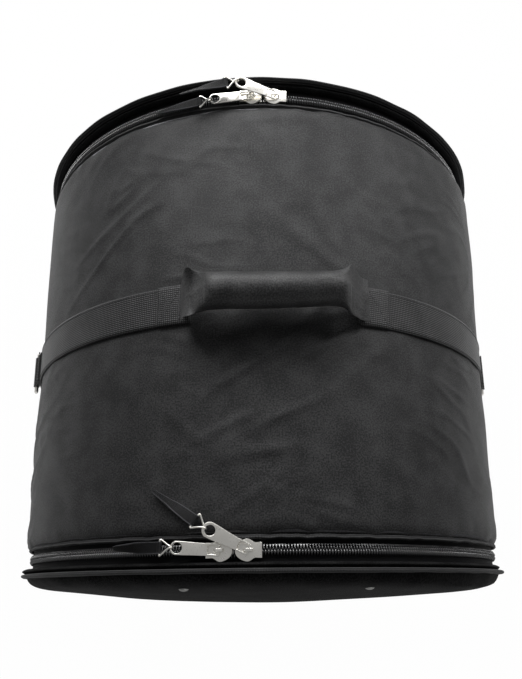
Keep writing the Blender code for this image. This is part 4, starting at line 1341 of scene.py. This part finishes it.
def make_camera():
    data = bpy.data.cameras.new("camera")
    data.sensor_fit = "VERTICAL"
    data.sensor_height = sensor_height
    data.lens = photo_focal / photo_size[1] * sensor_height
    data.shift_y = (photo_centre[1] - photo_size[1] / 2) / photo_size[1]
    camera = bpy.data.objects.new("camera", data)
    bpy.context.scene.collection.objects.link(camera)
    radial = Vector((-math.sin(bag_roll), 0, math.cos(bag_roll)))
    spot = Vector((0, -camera_reach, axis_height)) + radial * camera_distance
    look = -radial * math.cos(camera_tilt) + Vector((0, 1, 0)) * math.sin(camera_tilt)
    right = look.cross(radial).normalized()
    turned = Matrix((right, right.cross(look), -look)).transposed().to_4x4()
    camera.matrix_world = Matrix.Translation(spot) @ turned @ Matrix.Rotation(camera_roll, 4, "Z")
    bpy.context.scene.camera = camera


def make_floor():
    """A pale floor that the camera sees white and the bag reflects only faintly."""
    mirrored_share, white_share = 0.3, 0.985
    deselect_all()
    bpy.ops.mesh.primitive_plane_add(size=12)
    floor = named("floor")
    pale, shader = material("pale_floor", (0.86, 0.86, 0.86), 0.9)
    tree = pale.node_tree
    glow = add_node(tree, "ShaderNodeEmission")
    glow.inputs["Color"].default_value = white
    ray = add_node(tree, "ShaderNodeLightPath")
    mix = add_node(tree, "ShaderNodeMixShader")
    seen = larger(ray.outputs["Is Glossy Ray"], ray.outputs["Is Transmission Ray"])
    seen = larger(times(seen, mirrored_share), times(ray.outputs["Is Camera Ray"], white_share))
    tree.links.new(seen, mix.inputs[0])
    tree.links.new(shader.outputs[0], mix.inputs[1])
    tree.links.new(glow.outputs[0], mix.inputs[2])
    tree.links.new(mix.outputs[0], tree.nodes["Material Output"].inputs["Surface"])
    floor.data.materials.append(pale)


def make_lamp(name, spot, size, power):
    """A soft lamp that points at the bag and isn't in the picture itself."""
    target = Vector((0, 0, 0.3))
    data = bpy.data.lights.new(name, "AREA")
    data.shape = "RECTANGLE"
    data.size, data.size_y = size
    data.energy = power
    lamp = bpy.data.objects.new(name, data)
    bpy.context.scene.collection.objects.link(lamp)
    lamp.visible_camera = False
    lamp.location = spot
    lamp.rotation_euler = (target - Vector(spot)).to_track_quat("-Z", "Y").to_euler()


def make_light():
    """A white world that lights the bag faintly and shows in it a little more, and three soft lamps."""
    mirrored_share, glow = 0.3, 0.1
    world = bpy.data.worlds.new("studio")
    world.use_nodes = True
    sky = world.node_tree.nodes["Background"]
    sky.inputs["Color"].default_value = white
    ray = add_node(world.node_tree, "ShaderNodeLightPath")
    shown = larger(ray.outputs["Is Camera Ray"], ray.outputs["Is Transmission Ray"])
    shown = larger(shown, times(ray.outputs["Is Glossy Ray"], mirrored_share))
    world.node_tree.links.new(larger(shown, glow), sky.inputs["Strength"])
    bpy.context.scene.world = world
    make_lamp("back_softbox", (-0.3, 1.1, 1.2), (1.5, 0.5), 23)
    make_lamp("right_softbox", (0.75, 0.6, 1.1), (0.25, 0.6), 5.5)
    make_lamp("front_fill", (0.5, -1.7, 0.6), (0.8, 0.5), 2)


def main():
    make_camera()
    make_floor()
    make_light()
    make_shell()
    make_strap()
    for hand_name, hand in HANDS.items():
        make_patch(hand_name, hand)
        make_tab(hand_name, hand)
        make_ring(hand_name, hand)
    make_handle()
    for end_name, side in ENDS.items():
        for make in (make_zip, make_fold_strip, make_rim, make_welt, make_panel, make_lid_lining):
            make(side, end_name)
        for hand_name in HANDS:
            for make in (make_end_stop, make_rivet, make_slider, make_pull, make_link, make_tag):
                make(end_name, hand_name)
    bpy.context.scene.view_settings.view_transform = "Standard"


main()
